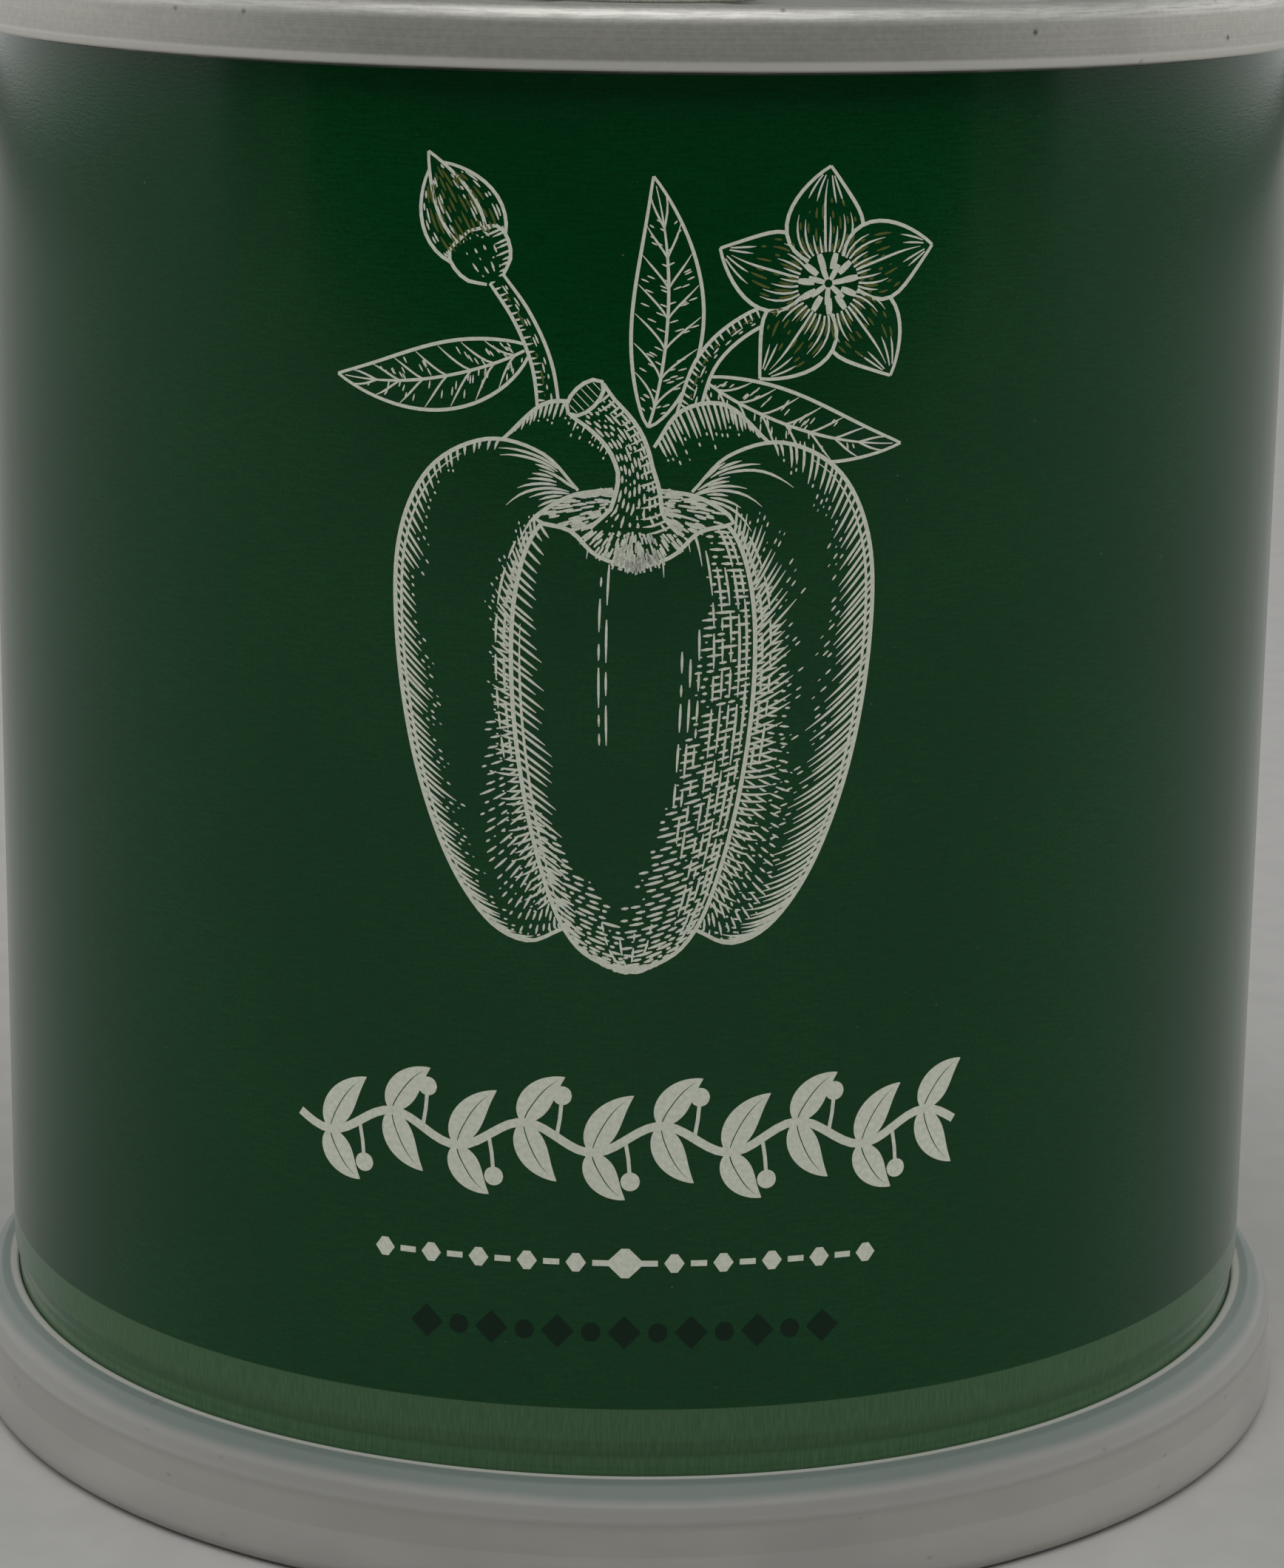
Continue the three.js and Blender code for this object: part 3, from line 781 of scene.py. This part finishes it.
def petal(plate, tint, root, tip, width, bend):
    p = blade(root, tip, width, bend, 0.72)
    plate.edge(p, 0.19)
    plate.pen(p.line(0.5, 0.12, 0.86, 40), 0.13, 0.9, 0.2)
    for s in (0.14, 0.24, 0.34, 0.43, 0.57, 0.66, 0.76, 0.86):
        plate.pen(p.line(s, 0.16, plate.random.uniform(0.36, 0.56), 16), 0.11, 0.9, 0.2)
        tint.dashes(p.line(s + 0.04, 0.2, plate.random.uniform(0.5, 0.7), 20), 0.13, 0.7, 0.35)
    for s in (0.2, 0.36, 0.68, 0.8):
        plate.pen(p.line(s, plate.random.uniform(0.62, 0.7), 0.9, 12), 0.1, 0.2, 0.6)
    plate.cover(p.outline)


def blossom(plate, tint, x, z, reach=5.7, petals=5):
    """An open flower of even petals round its anthers."""
    eye = np.array([x, z])
    for ring, count, size, width in ((0.62, 7, 0.85, 0.3), (1.12, 11, 0.8, 0.36)):
        for a in 2 * np.pi * (np.arange(count) + 0.3 * ring) / count:
            d = np.array([np.cos(a), np.sin(a)])
            plate.pen([eye + r * d for r in (ring - size / 2, ring, ring + size / 2)], width, 0.7, 0.7)
    turn = np.linspace(0, 2 * np.pi, 60)
    plate.cover(eye + 1.5 * np.stack([np.cos(turn), np.sin(turn)], axis=1))
    for a in 2 * np.pi * (np.arange(petals) + 0.25) / petals:
        d = np.array([np.cos(a), np.sin(a)])
        petal(plate, tint, eye + 0.9 * d, eye + reach * d, 3.9, 0.05)


def bud(plate, tint, x, z, lean):
    """A closed bud: its green cup, then the folded petals."""
    up = np.array([math.sin(lean), math.cos(lean)])
    side = np.array([up[1], -up[0]])

    def at(across, along):
        return np.array([x, z]) + across * side + along * up

    cup = Shape(
        curve(at(-0.45, 0.0), at(-1.35, 0.8), at(-1.45, 2.2), at(0.0, 2.7)),
        curve(at(0.45, 0.0), at(1.35, 0.8), at(1.45, 2.2), at(0.0, 2.7)),
    )
    plate.edge(cup, 0.19)
    plate.hatch(cup, 0.3, table((0, 0.4), (1, 0.4)), table((0, 0), (1, 0)), 1, 0.12, 0.05)
    plate.along(cup, (0.3, 0.45, 0.6, 0.75), (0.1, 0.8), 0.12, 0.4, 0.4)
    plate.cover(cup.outline)
    for across, width in ((0.0, 2.0), (-0.8, 2.1), (0.8, 2.1)):
        p = blade(at(across, 1.2), at(across * 0.5, 7.0 - abs(across)), width, -0.1 * across)
        plate.edge(p)
        for s in (0.3, 0.42, 0.55, 0.68):
            tint.dashes(p.line(s, 0.2, 0.85, 30), 0.13, 0.9, 0.3)
        plate.along(p, (0.12, 0.2, 0.8, 0.88), (0.1, 0.86), 0.11, 0.7, 0.4)
        plate.cover(p.outline)


def leaf(plate, root, tip, width, bend):
    p = blade(root, tip, width, bend)
    plate.edge(p)
    plate.pen(p.line(0.5, 0.0, 0.96, 60), 0.16, 0.9, 0.3)
    for rim in (0.04, 0.96):
        for k in range(7):
            s, t = np.linspace(0.5, rim, 14), 0.1 + 0.115 * k + 0.13 * np.linspace(0, 1, 14) ** 0.8
            plate.pen(p.place(s, t), 0.11, 0.8, 0.3)
        for _ in range(30):
            t, s = plate.random.uniform(0.06, 0.86), plate.random.uniform(0.06, 0.4)
            s = s + np.linspace(0, 0.12, 5)
            plate.pen(p.place(s if rim < 0.5 else 1 - s, t - 0.1 * (s - s[0])), 0.09, 0.6, 0.4)
    plate.cover(p.outline)


def stalk(plate, tint, spine, wide):
    r = rod(spine, ([0, 1], wide))
    plate.edge(r)
    half, bow = table((0, 0.5), (1, 0.5)), table((0, 0.05), (1, 0.05))
    plate.hatch(r, 0.34, half, bow, 1, 0.11, 0.01, (0.0, 1.0), False)
    plate.along(r, (0.3, 0.45), (0.02, 0.98), 0.1, 0.5, 0.5)
    tint.along(r, (0.6,), (0.1, 0.95), 0.12, 0.6, 0.5)
    plate.cover(r.outline)


def spray(plate, tint):
    """Two flowering stalks behind the pepper: a bud to the left, a blossom to the right, three leaves."""
    bud(plate, tint, -7.0, 68.6, -0.5)
    blossom(plate, tint, 9.4, 68.6)
    stalk(plate, tint, curve((-7.0, 68.8), (-5.6, 66.8), (-4.6, 64.4), (-4.2, 61.4)), (0.8, 1.1))
    stalk(plate, tint, curve((8.4, 67.6), (5.6, 66.8), (3.4, 64.8), (2.3, 61.4)), (0.8, 1.1))
    leaf(plate, (0.6, 61.6), (0.7, 73.8), 3.5, -0.07)
    leaf(plate, (-5.2, 65.4), (-15.2, 63.6), 3.3, 0.08)
    leaf(plate, (3.2, 64.0), (13.4, 60.6), 3.2, -0.08)


def solid_blade(plate, root, tip, width, bend):
    """A filled leaf with a fine rib left open along it."""
    p = blade(root, tip, width, bend, 0.72)
    wide = np.hypot(*(p.line(1.0, 0, 1, 24) - p.line(0.0, 0, 1, 24)).T)
    for s in (0.26, 0.74):
        plate.fill(p.line(s, 0, 1, 24), wide * 0.44 + 0.02)


def lozenge(plate, x, z, wide, tall):
    t = np.linspace(-1, 1, 5)
    plate.fill(np.stack([x + wide / 2 * t, np.full(5, z)], axis=1), tall * (1 - np.abs(t)) + 0.01)


def disc(plate, x, z, radius):
    t = np.linspace(0, np.pi, 14)
    plate.fill(np.stack([x - radius * np.cos(t), np.full(14, z)], axis=1), 2 * radius * np.sin(t) + 0.01)


def garland(plate, middle=24.9, half=17.6, step=3.52):
    """A leafy border of filled ink."""

    def wave(x):
        return middle + 0.75 * np.sin(x * np.pi / step)

    x = np.linspace(-half, half, 120)
    plate.fill(np.stack([x, wave(x)], axis=1), 0.46)
    for k in range(-4, 6):
        x = (k - 0.5) * step
        for side in (-1, 1):
            reach = 3.1 if (k + (side > 0)) % 2 else 2.5
            tip = (x + 1.9 + 0.2 * side, wave(x) + side * reach)
            solid_blade(plate, (x, wave(x)), tip, 1.75, 0.1 * side)
    for k in range(-4, 5):
        x, side = k * step + 0.2, 1 if k % 2 else -1
        berry = (x, wave(x) + side * 2.4)
        plate.fill([(x - 0.3, wave(x)), (x - 0.1, wave(x) + side * 1.2), berry], 0.2)
        disc(plate, *berry, 0.5)


def rule(plate, z=18.2, half=12.7, pitch=1.27):
    """Dashes and small lozenges either side of a larger one."""
    lozenge(plate, 0, z, 2.0, 2.0)
    for side in (-1, 1):
        for k in range(1, int(half / pitch) + 1):
            x = side * k * pitch
            if k % 2:
                plate.fill([(x - 0.42, z), (x + 0.42, z)], 0.32)
            else:
                lozenge(plate, x, z, 1.05, 1.5)


def dark_row(plate, z=14.4, half=10.4, count=13):
    """Lozenges and discs in turn."""
    for k in range(count):
        x = -half + 2 * half * k / (count - 1)
        if k % 2:
            disc(plate, x, z, 0.5)
        else:
            lozenge(plate, x, z, 1.7, 1.8)


def printed(name, strokes, lift):
    """Ink laid on the wrap: each stroke a flat-topped keel wrapped round the tin, closed all over."""
    places, faces = [], []
    top, keel = WRAP_RADIUS + lift, WRAP_RADIUS - 0.02
    for points, widths in strokes:
        along = distance(points)
        if along[-1] < 0.05:
            continue
        solid = widths.max() > 0.4 and len(points) > 12
        count = int(np.clip(along[-1] / 0.5 + 2.5, 24 if solid else 3, 90))
        at = np.linspace(0, along[-1], count)
        line = np.stack([np.interp(at, along, points[:, k]) for k in (0, 1)], axis=1)
        wide = np.interp(at, along, widths)[:, None]
        across = square_to(line) * wide / 2
        start = len(places)
        for middle, side in zip(line, across):
            for (x, z), radius in ((middle + side, top), (middle, keel), (middle - side, top)):
                angle = x / WRAP_RADIUS
                places.append((radius * math.sin(angle), -radius * math.cos(angle), z))
        last = len(places) - 3
        for a in range(start, last, 3):
            faces += [(a + i, a + j, a + j + 3, a + i + 3) for i, j in ((1, 0), (2, 1), (0, 2))]
        faces += [(start, start + 1, start + 2), (last, last + 2, last + 1)]
    return piece_of(name, places, faces)


# ---- the operators -------------------------------------------------------------------------


def settings(context):
    """The tin's sizes in millimetres, and its colours."""
    sizes = context.scene.seed_tin_sizes
    lengths = {key: getattr(sizes, key) / MM for key in sizes.__annotations__ if key != "steps"}
    return SimpleNamespace(steps=sizes.steps, **lengths), context.scene.seed_tin_colours


class SEEDTIN_OT_wrap(bpy.types.Operator):
    """Turn the printed wrap round the tin, lapped at the back"""

    bl_idname = "seedtin.wrap"
    bl_label = "Printed wrap"

    def execute(self, context):
        sizes, colours = settings(context)
        thick, drawn_in = sizes.wrap_thickness, WRAP_RADIUS - sizes.neck_depth
        neck_bend = 1.2
        outside = rounded(
            [
                (drawn_in, WRAP_LOW.z),
                (drawn_in, sizes.neck, neck_bend),
                (WRAP_RADIUS, sizes.neck + sizes.neck_rise, neck_bend),
                (WRAP_RADIUS, WRAP_HIGH.z),
            ],
            4,
        )
        points = [*outside, *((r - thick, z) for r, z in reversed(outside))]
        outline_of([*points, points[0]])
        merge_all()
        # the lap stands over the start of the wrap, then steps down to it
        step_width, lap_steps, stand_off = 0.3, 8, 1.25 * thick
        lap, step = sizes.lap / WRAP_RADIUS, step_width / WRAP_RADIUS
        swell = 1 + stand_off / WRAP_RADIUS
        rotate(-math.pi / 2 + lap / 2)
        resize(swell, swell)
        spin(lap_steps, lap)
        bpy.ops.mesh.extrude_region_move()
        rotate(-step)
        resize(1 / swell, 1 / swell)
        spin(sizes.steps, 2 * math.pi - 2 * step)
        close_up()
        fill_ends()
        close_up()
        settle(named("printed_wrap", 40), wrap_finish(colours, sizes), "printed_wrap", "printed_label")
        return {"FINISHED"}


class SEEDTIN_OT_print(bpy.types.Operator):
    """Lay the pen engraving, the border and the ornaments on the wrap"""

    bl_idname = "seedtin.print"
    bl_label = "Printing"

    def execute(self, context):
        sizes, colours = settings(context)
        fruit = Plate(7)
        pepper(fruit)
        flowers = Plate(11, fruit.covers)
        tint = Plate(12, fruit.covers)
        spray(flowers, tint)
        border, ornaments = Plate(3), Plate(4)
        garland(border)
        rule(border)
        dark_row(ornaments)
        pale = ink_finish("pale ink", colours.ink)
        inks = (
            ("pepper_engraving", fruit, pale),
            ("blossom_engraving", flowers, pale),
            ("leaf_border", border, pale),
            ("blossom_tint", tint, ink_finish("tint ink", colours.tint)),
            ("dark_ornaments", ornaments, ink_finish("dark ink", colours.dark_ink, 0.2, 0.5)),
        )
        for name, plate, ink in inks:
            settle(printed(name, plate.strokes, sizes.ink), ink, "printed_wrap")
        return {"FINISHED"}


def bead(middle, rise, half, height):
    """A ring pressed up out of a flat panel."""
    flank = half * 0.45
    return [
        (middle - half, height, 0.5),
        (middle - flank, height + rise, 0.5),
        (middle + flank, height + rise, 0.5),
        (middle + half, height, 0.5),
    ]


class SEEDTIN_OT_lid(bpy.types.Operator):
    """Turn the seamed lid with its folds, score line, beads and rivet"""

    bl_idname = "seedtin.lid"
    bl_label = "Lid and rivet"

    def execute(self, context):
        sizes, colours = settings(context)
        plate = sizes.plate
        # radii, from the fold of the seam inwards
        body_inset, groove_width, groove_flank, ledge_width = 0.26, 1.8, 0.8, 3.7
        wall = WRAP_RADIUS - body_inset
        outside = RIM_RADIUS - plate / 2
        hook = wall + (outside - wall) / 3
        chuck = wall - 1.5 * plate
        groove = chuck - groove_width
        ledge = groove - groove_flank
        well = ledge - ledge_width
        # heights, from the top down
        crown = TIN_TOP - plate / 2
        panel = TIN_TOP - sizes.panel_depth
        shelf = TIN_TOP - sizes.ledge_depth
        floor = TIN_TOP - sizes.groove_depth
        foot = TIN_TOP - sizes.seam + plate / 2
        path = [
            *((r, panel) for r in range(12)),
            *bead(14.2, 0.22, 1.5, panel),
            *((r + 0.5, panel) for r in range(16, 24)),
            *bead(26.6, 0.25, 1.1, panel),
            (well, panel, 0.35),
            (well + 0.5, shelf, 0.35),
            (ledge, shelf, 0.3),
            (groove, floor, 0.42),
            (chuck - 0.7, floor, 0.42),
            (chuck, crown, 0.5),
            (outside - 0.06, crown, 0.85),
            (outside, foot + 0.4, 0.6),
            (outside - 0.16, foot, 0.2),
            (hook, foot, 0.21),
            (hook, TIN_TOP - 0.9),
        ]
        above, below = sheet(rounded(path), plate)
        # the score line is cut in the upper side of the ledge
        score, score_half, score_depth = well + 2.9, 0.13, 0.09
        cut = next(i for i, (r, _) in enumerate(above) if r > score)
        top = above[cut - 1][1]
        above[cut:cut] = [(score - score_half, top), (score, top - score_depth), (score + score_half, top)]
        lid = turned("seamed_lid", [*above, *reversed(below)], sizes.steps)
        # the panel dips under the ring of the tab, where a fingertip goes
        dip_y, dip_x, dip_long, dip = TAB_LOW.y + 0.8, 7.2, 5.2, 0.75
        for vert in lid.data.vertices:
            x, y, z = vert.co / MM
            off = math.hypot(x / dip_x, (y - dip_y) / dip_long)
            if off < 1 and abs(z - panel) < 0.5:
                vert.co.z -= dip * MM * (1 - off**2) ** 2
        tin = tinplate_finish(colours, "tinplate")
        settle(lid, tin, "tinplate", "top_end")

        # the rivet is drawn from the panel and headed over the tab
        seat, head, shank = TAB_LOW.z, TAB_HIGH.z - 0.2, 1.6
        boss, rivet_steps = 3.9, 72
        profile = [
            (0, panel),
            (boss, panel),
            (boss, panel + plate / 2 + 0.02, 0.05),
            (3.35, seat - 0.05, 0.3),
            (shank, seat - 0.05),
            (shank, head - 0.4),
            (2.7, head - 0.4, 0.1),
            (2.62, head - 0.06, 0.25),
            (1.9, head, 0.3),
            (1.25, head - 0.02, 0.2),
            (0.9, head - 0.16, 0.2),
            (0, head - 0.16),
        ]
        rivet = turned("rivet", rounded(profile, 4), rivet_steps, (0.0, TAB_HIGH.y - TAB_NOSE))
        settle(rivet, tin, "tinplate")
        return {"FINISHED"}


class SEEDTIN_OT_tab(bpy.types.Operator):
    """Draw the pull tab with its curled edges, finger hole and rivet island"""

    bl_idname = "seedtin.tab"
    bl_label = "Pull tab"

    def execute(self, context):
        _, colours = settings(context)
        low, high = TAB_LOW.z, TAB_HIGH.z
        wide = TAB_HIGH.x
        rivet_y = TAB_HIGH.y - TAB_NOSE
        ring_y = rivet_y - 11.4  # the middle of the finger hole
        long, hole_x, hole_y = ring_y - TAB_LOW.y, 5.3, 4.3
        # the section: how far in from the tab's edge, or out from the finger hole, at shares of its height
        edge = (
            *((0.95, 0.0), (0.55, 0.0), (0.25, 0.08), (0.06, 0.3), (0.0, 0.55), (0.1, 0.8), (0.34, 0.96)),
            *((0.66, 1.0), (0.98, 0.93), (1.2, 0.74), (1.3, 0.5), (1.42, 0.3)),
        )
        hole = (
            *((1.32, 0.3), (1.2, 0.5), (1.1, 0.72), (0.9, 0.92), (0.6, 1.0), (0.3, 0.95), (0.08, 0.78)),
            *((0.0, 0.52), (0.06, 0.26), (0.26, 0.06), (0.6, 0.0), (0.95, 0.0), (1.3, 0.06)),
        )
        section = [(True, *point) for point in edge] + [(False, *point) for point in hole]
        section.append((True, 1.4, 0.06))
        count = 128
        places, faces = [], []
        for outer, inset, rise in section:
            z = low + (high - low) * rise
            for angle in np.arange(count) * 2 * math.pi / count:
                c, s = math.cos(angle), math.sin(angle)
                if not outer:
                    x, y = (hole_x + inset) * c, ring_y + (hole_y + inset) * s
                elif s < 0:
                    x, y = (wide - inset) * c, ring_y + (long - inset) * s
                else:
                    x, y = edge_point(angle, wide - inset, TAB_NOSE - inset, ring_y, rivet_y)
                places.append((x, y, z))
        for i in range(len(section)):
            here, there = i * count, (i + 1) % len(section) * count
            for k in range(count):
                after = (k + 1) % count
                faces.append((here + k, here + after, there + after, there + k))
        tab = piece_of("ring_pull_tab", places, faces)
        pick(tab)
        bpy.ops.object.mode_set(mode="EDIT")
        close_up()
        bpy.ops.object.mode_set(mode="OBJECT")

        # the rivet hole, and the slit that frees the rivet island
        bore_radius, slit_in, slit_out, cut_steps = 1.8, 3.75, 4.05, 40
        slit_start, slit_sweep = math.radians(35), math.radians(250)
        bore = [(0, low - 1), (bore_radius, low - 1), (bore_radius, high + 1), (0, high + 1)]
        cutters = [turned("bore", bore, cut_steps, (0.0, rivet_y))]
        slit = [(slit_in, low - 0.5), (slit_out, low - 0.5), (slit_out, high + 0.5), (slit_in, high + 0.5)]
        outline_of([*slit, slit[0]])
        merge_all()
        bpy.ops.mesh.edge_face_add()
        move(0, rivet_y)
        rotate(slit_start, (0, rivet_y))
        bpy.ops.mesh.select_all(action="SELECT")
        spin(cut_steps, slit_sweep, (0, rivet_y))
        close_up()
        cutters.append(named("slit"))
        for cutter in cutters:
            pick(tab)
            modifier = tab.modifiers.new("cut", "BOOLEAN")
            modifier.object = cutter
            bpy.ops.object.modifier_apply(modifier="cut")
            bpy.data.objects.remove(cutter)
        settle(named("ring_pull_tab", 40), tab_finish(colours), "tab_metal", "pull_tab")
        return {"FINISHED"}


def edge_point(angle, wide, nose, ring_y, rivet_y):
    """The tab's edge towards its nose, between the ring's widest points and the nose's arc."""
    share = angle / math.pi
    arc = math.pi * nose
    side = math.hypot(rivet_y - ring_y, wide - nose)
    at = share * (arc + 2 * side)
    if at < side:
        t = at / side
        return wide + (nose - wide) * t, ring_y + (rivet_y - ring_y) * t
    if at > side + arc:
        t = (arc + 2 * side - at) / side
        return -(wide + (nose - wide) * t), ring_y + (rivet_y - ring_y) * t
    turn = (at - side) / nose
    return nose * math.cos(turn), rivet_y + nose * math.sin(turn)


class SEEDTIN_OT_saucer(bpy.types.Operator):
    """Turn the snap cap that serves as a saucer, with its lip, foot and moulding marks"""

    bl_idname = "seedtin.saucer"
    bl_label = "Saucer"

    def execute(self, context):
        sizes, colours = settings(context)
        seam_inset, play = 0.25, 0.15
        inside = RIM_RADIUS - seam_inset + play
        wall = inside + sizes.cap_wall
        foot = CAP_HIGH.x
        lip = WRAP_RADIUS - sizes.neck_depth + 0.03
        shoulder = WRAP_RADIUS + 1.75
        top, floor, under = CAP_HIGH.z, TIN_BOTTOM, sizes.cap_floor
        seam = TIN_BOTTOM + sizes.seam + 0.11
        profile = [
            (0, under),
            *((1.4, under, 0.1), (1.7, under + 0.12, 0.1), (2.6, under + 0.12, 0.1), (2.9, under, 0.1)),
            *((17.6, under, 0.1), (17.8, under + 0.14, 0.08), (18.2, under + 0.14, 0.08), (18.4, under, 0.1)),
            (foot - 3.2, under, 0.3),
            (foot - 2.45, 0.0, 0.3),
            (foot + 0.03, 0.0, 0.85),
            (wall, floor + 0.8, 0.9),
            (wall, seam - 0.55, 0.6),
            (shoulder, seam + 0.15, 0.8),
            (lip + 1.1, top - 0.12, 0.5),
            (lip + 0.5, top, 0.15),
            (lip, top, 0.2),
            (lip, seam + 0.3, 0.2),
            (inside, seam, 0.15),
            (inside, floor, 0.25),
            (0, floor),
        ]
        saucer = turned("saucer", rounded(profile, 7), sizes.steps)
        settle(saucer, plastic_finish(colours), "milky_plastic", "saucer_cap")
        return {"FINISHED"}


class SEEDTIN_OT_finishes(bpy.types.Operator):
    """Give the tin body, the lower end and the contents their finishes"""

    bl_idname = "seedtin.finishes"
    bl_label = "Finishes"

    def execute(self, context):
        _, colours = settings(context)
        tin = tinplate_finish(colours, "tin body")
        # name, dark, pale, fleck, size of the crumbs, roughness, depth of the relief
        rubber, paper, peat, vermiculite, seed = (
            loose_finish(*look)
            for look in (
                ("seam sealant", (0.12, 0.14, 0.135), (0.2, 0.23, 0.22), (0.3, 0.32, 0.3), 900.0, 0.7, 0.05),
                ("filter paper", (0.62, 0.56, 0.44), (0.74, 0.69, 0.58), (0.5, 0.42, 0.3), 700.0, 0.95, 0.1),
                ("peat", (0.018, 0.011, 0.007), (0.06, 0.038, 0.024), (0.2, 0.15, 0.1), 420.0, 1.0, 0.6),
                ("vermiculite", (0.22, 0.15, 0.08), (0.46, 0.36, 0.2), (0.7, 0.6, 0.4), 380.0, 0.85, 0.6),
                ("seed coat", (0.62, 0.47, 0.25), (0.78, 0.64, 0.4), (0.5, 0.36, 0.18), 800.0, 0.55, 0.05),
            )
        )
        finishes = {
            "top_seam_compound": rubber,
            "bottom_seam_compound": rubber,
            "filter_disc": paper,
            "growing_medium": peat,
            "cover_layer": vermiculite,
        }
        for name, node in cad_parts.items():
            node.data.materials.clear()
            node.data.materials.append(finishes.get(name, seed if name.startswith("pepper_seed") else tin))
        return {"FINISHED"}


def softbox(name, azimuth, away, high, wide, tall, watts):
    """A soft panel at a compass angle from the front, facing the tin."""
    light = bpy.data.lights.new(name, "AREA")
    light.shape = "RECTANGLE"
    light.size, light.size_y = wide * MM, tall * MM
    light.energy = watts
    panel = bpy.data.objects.new(name, light)
    turn = math.radians(azimuth)
    panel.location = Vector((math.sin(turn) * away, -math.cos(turn) * away, high)) * MM
    aim = Vector((0, 0, 60 * MM))
    panel.rotation_euler = (panel.location - aim).to_track_quat("Z", "Y").to_euler()
    panel.visible_camera = False
    bpy.context.scene.collection.objects.link(panel)


class SEEDTIN_OT_stage(bpy.types.Operator):
    """Set the camera, the lights and the floor"""

    bl_idname = "seedtin.stage"
    bl_label = "Stage"

    def execute(self, context):
        _, colours = settings(context)
        scene = context.scene
        scene.view_settings.view_transform = "Standard"

        # the camera looks a little down at the front
        pitch, roll, yaw = (math.radians(a) for a in (14.035, 0.78, 0.15))
        ahead = Vector((math.sin(yaw) * math.cos(pitch), math.cos(yaw) * math.cos(pitch), -math.sin(pitch)))
        level = Vector((math.cos(yaw), -math.sin(yaw), 0))
        upright = level.cross(ahead)
        right = math.cos(roll) * level + math.sin(roll) * upright
        up = math.cos(roll) * upright - math.sin(roll) * level
        camera_back, camera_high = 240.35, 94.57
        lens = bpy.data.cameras.new("camera")
        lens.lens = 96.6
        lens.sensor_width = 36
        lens.clip_start = 0.01
        camera = bpy.data.objects.new("camera", lens)
        turn = Matrix((right, up, -ahead)).transposed().to_4x4()
        camera.matrix_world = Matrix.Translation((0, -camera_back * MM, camera_high * MM)) @ turn
        scene.collection.objects.link(camera)
        scene.camera = camera

        select_none()
        bpy.ops.mesh.primitive_grid_add(x_subdivisions=8, y_subdivisions=8, size=6)
        floor = context.object
        floor.name = "floor"
        p = Paint("plain floor")
        cloud = p.noise(p.place, 300.0, 3.0)
        base = p.mottle(cloud, colours.floor, 0.97, 1.03)
        floor.data.materials.append(p.finish(base, 0.9, p.bump(cloud, 0.02, 0.3)))

        # each box: angle from the front, distance away, height, width, length, watts
        for name, *box in (
            ("left box", -114, 550, 280, 1140, 560, 1.85),
            ("right box", 114, 550, 280, 1140, 560, 1.85),
            ("top box", 0, 330, 760, 800, 700, 3.6),
        ):
            softbox(name, *box)

        # a low dark flag in front keeps the upper middle of the wrap deep green
        select_none()
        away, wide, tall = 0.34, 1.0, 0.052
        bpy.ops.mesh.primitive_plane_add(size=1, location=(0, -away, tall / 2), rotation=(math.pi / 2, 0, 0))
        flag = context.object
        flag.name = "flag"
        flag.scale = (wide, tall, 1)
        flag.visible_camera = flag.visible_shadow = flag.visible_diffuse = False
        p = Paint("dark flag")
        felt = p.noise(p.place, 500.0, 3.0)
        shade = p.mix(felt, (0.004, 0.004, 0.004), (0.01, 0.01, 0.01))
        flag.data.materials.append(p.finish(shade, 1.0, p.bump(felt, 0.02, 0.3)))

        world = bpy.data.worlds.new("room")
        scene.world = world
        world.use_nodes = True
        background = world.node_tree.nodes["Background"]
        background.inputs["Color"].default_value = (0.9, 0.95, 1.0, 1)
        background.inputs["Strength"].default_value = 0.07
        return {"FINISHED"}


class SEEDTIN_PT_panel(bpy.types.Panel):
    """Lists the pieces, their sizes and their colours"""

    bl_idname = "SEEDTIN_PT_panel"
    bl_label = "Seed tin"
    bl_space_type = "VIEW_3D"
    bl_region_type = "UI"
    bl_category = "Seed tin"

    def draw(self, context):
        for owner in (context.scene.seed_tin_sizes, context.scene.seed_tin_colours):
            box = self.layout.box()
            for key in owner.__annotations__:
                box.prop(owner, key)
        for operator in OPERATORS:
            self.layout.operator(operator.bl_idname)


OPERATORS = (
    SEEDTIN_OT_stage,
    SEEDTIN_OT_wrap,
    SEEDTIN_OT_print,
    SEEDTIN_OT_lid,
    SEEDTIN_OT_tab,
    SEEDTIN_OT_saucer,
    SEEDTIN_OT_finishes,
)
CLASSES = (TinSizes, TinColours, *OPERATORS, SEEDTIN_PT_panel)


def register():
    for item in CLASSES:
        bpy.utils.register_class(item)
    bpy.types.Scene.seed_tin_sizes = bpy.props.PointerProperty(type=TinSizes)
    bpy.types.Scene.seed_tin_colours = bpy.props.PointerProperty(type=TinColours)


def unregister():
    del bpy.types.Scene.seed_tin_sizes
    del bpy.types.Scene.seed_tin_colours
    for item in reversed(CLASSES):
        bpy.utils.unregister_class(item)


def main():
    register()
    bpy.ops.seedtin.stage()
    bpy.ops.seedtin.wrap()
    bpy.ops.seedtin.print()
    bpy.ops.seedtin.lid()
    bpy.ops.seedtin.tab()
    bpy.ops.seedtin.saucer()
    bpy.ops.seedtin.finishes()


if __name__ == "__main__":
    main()
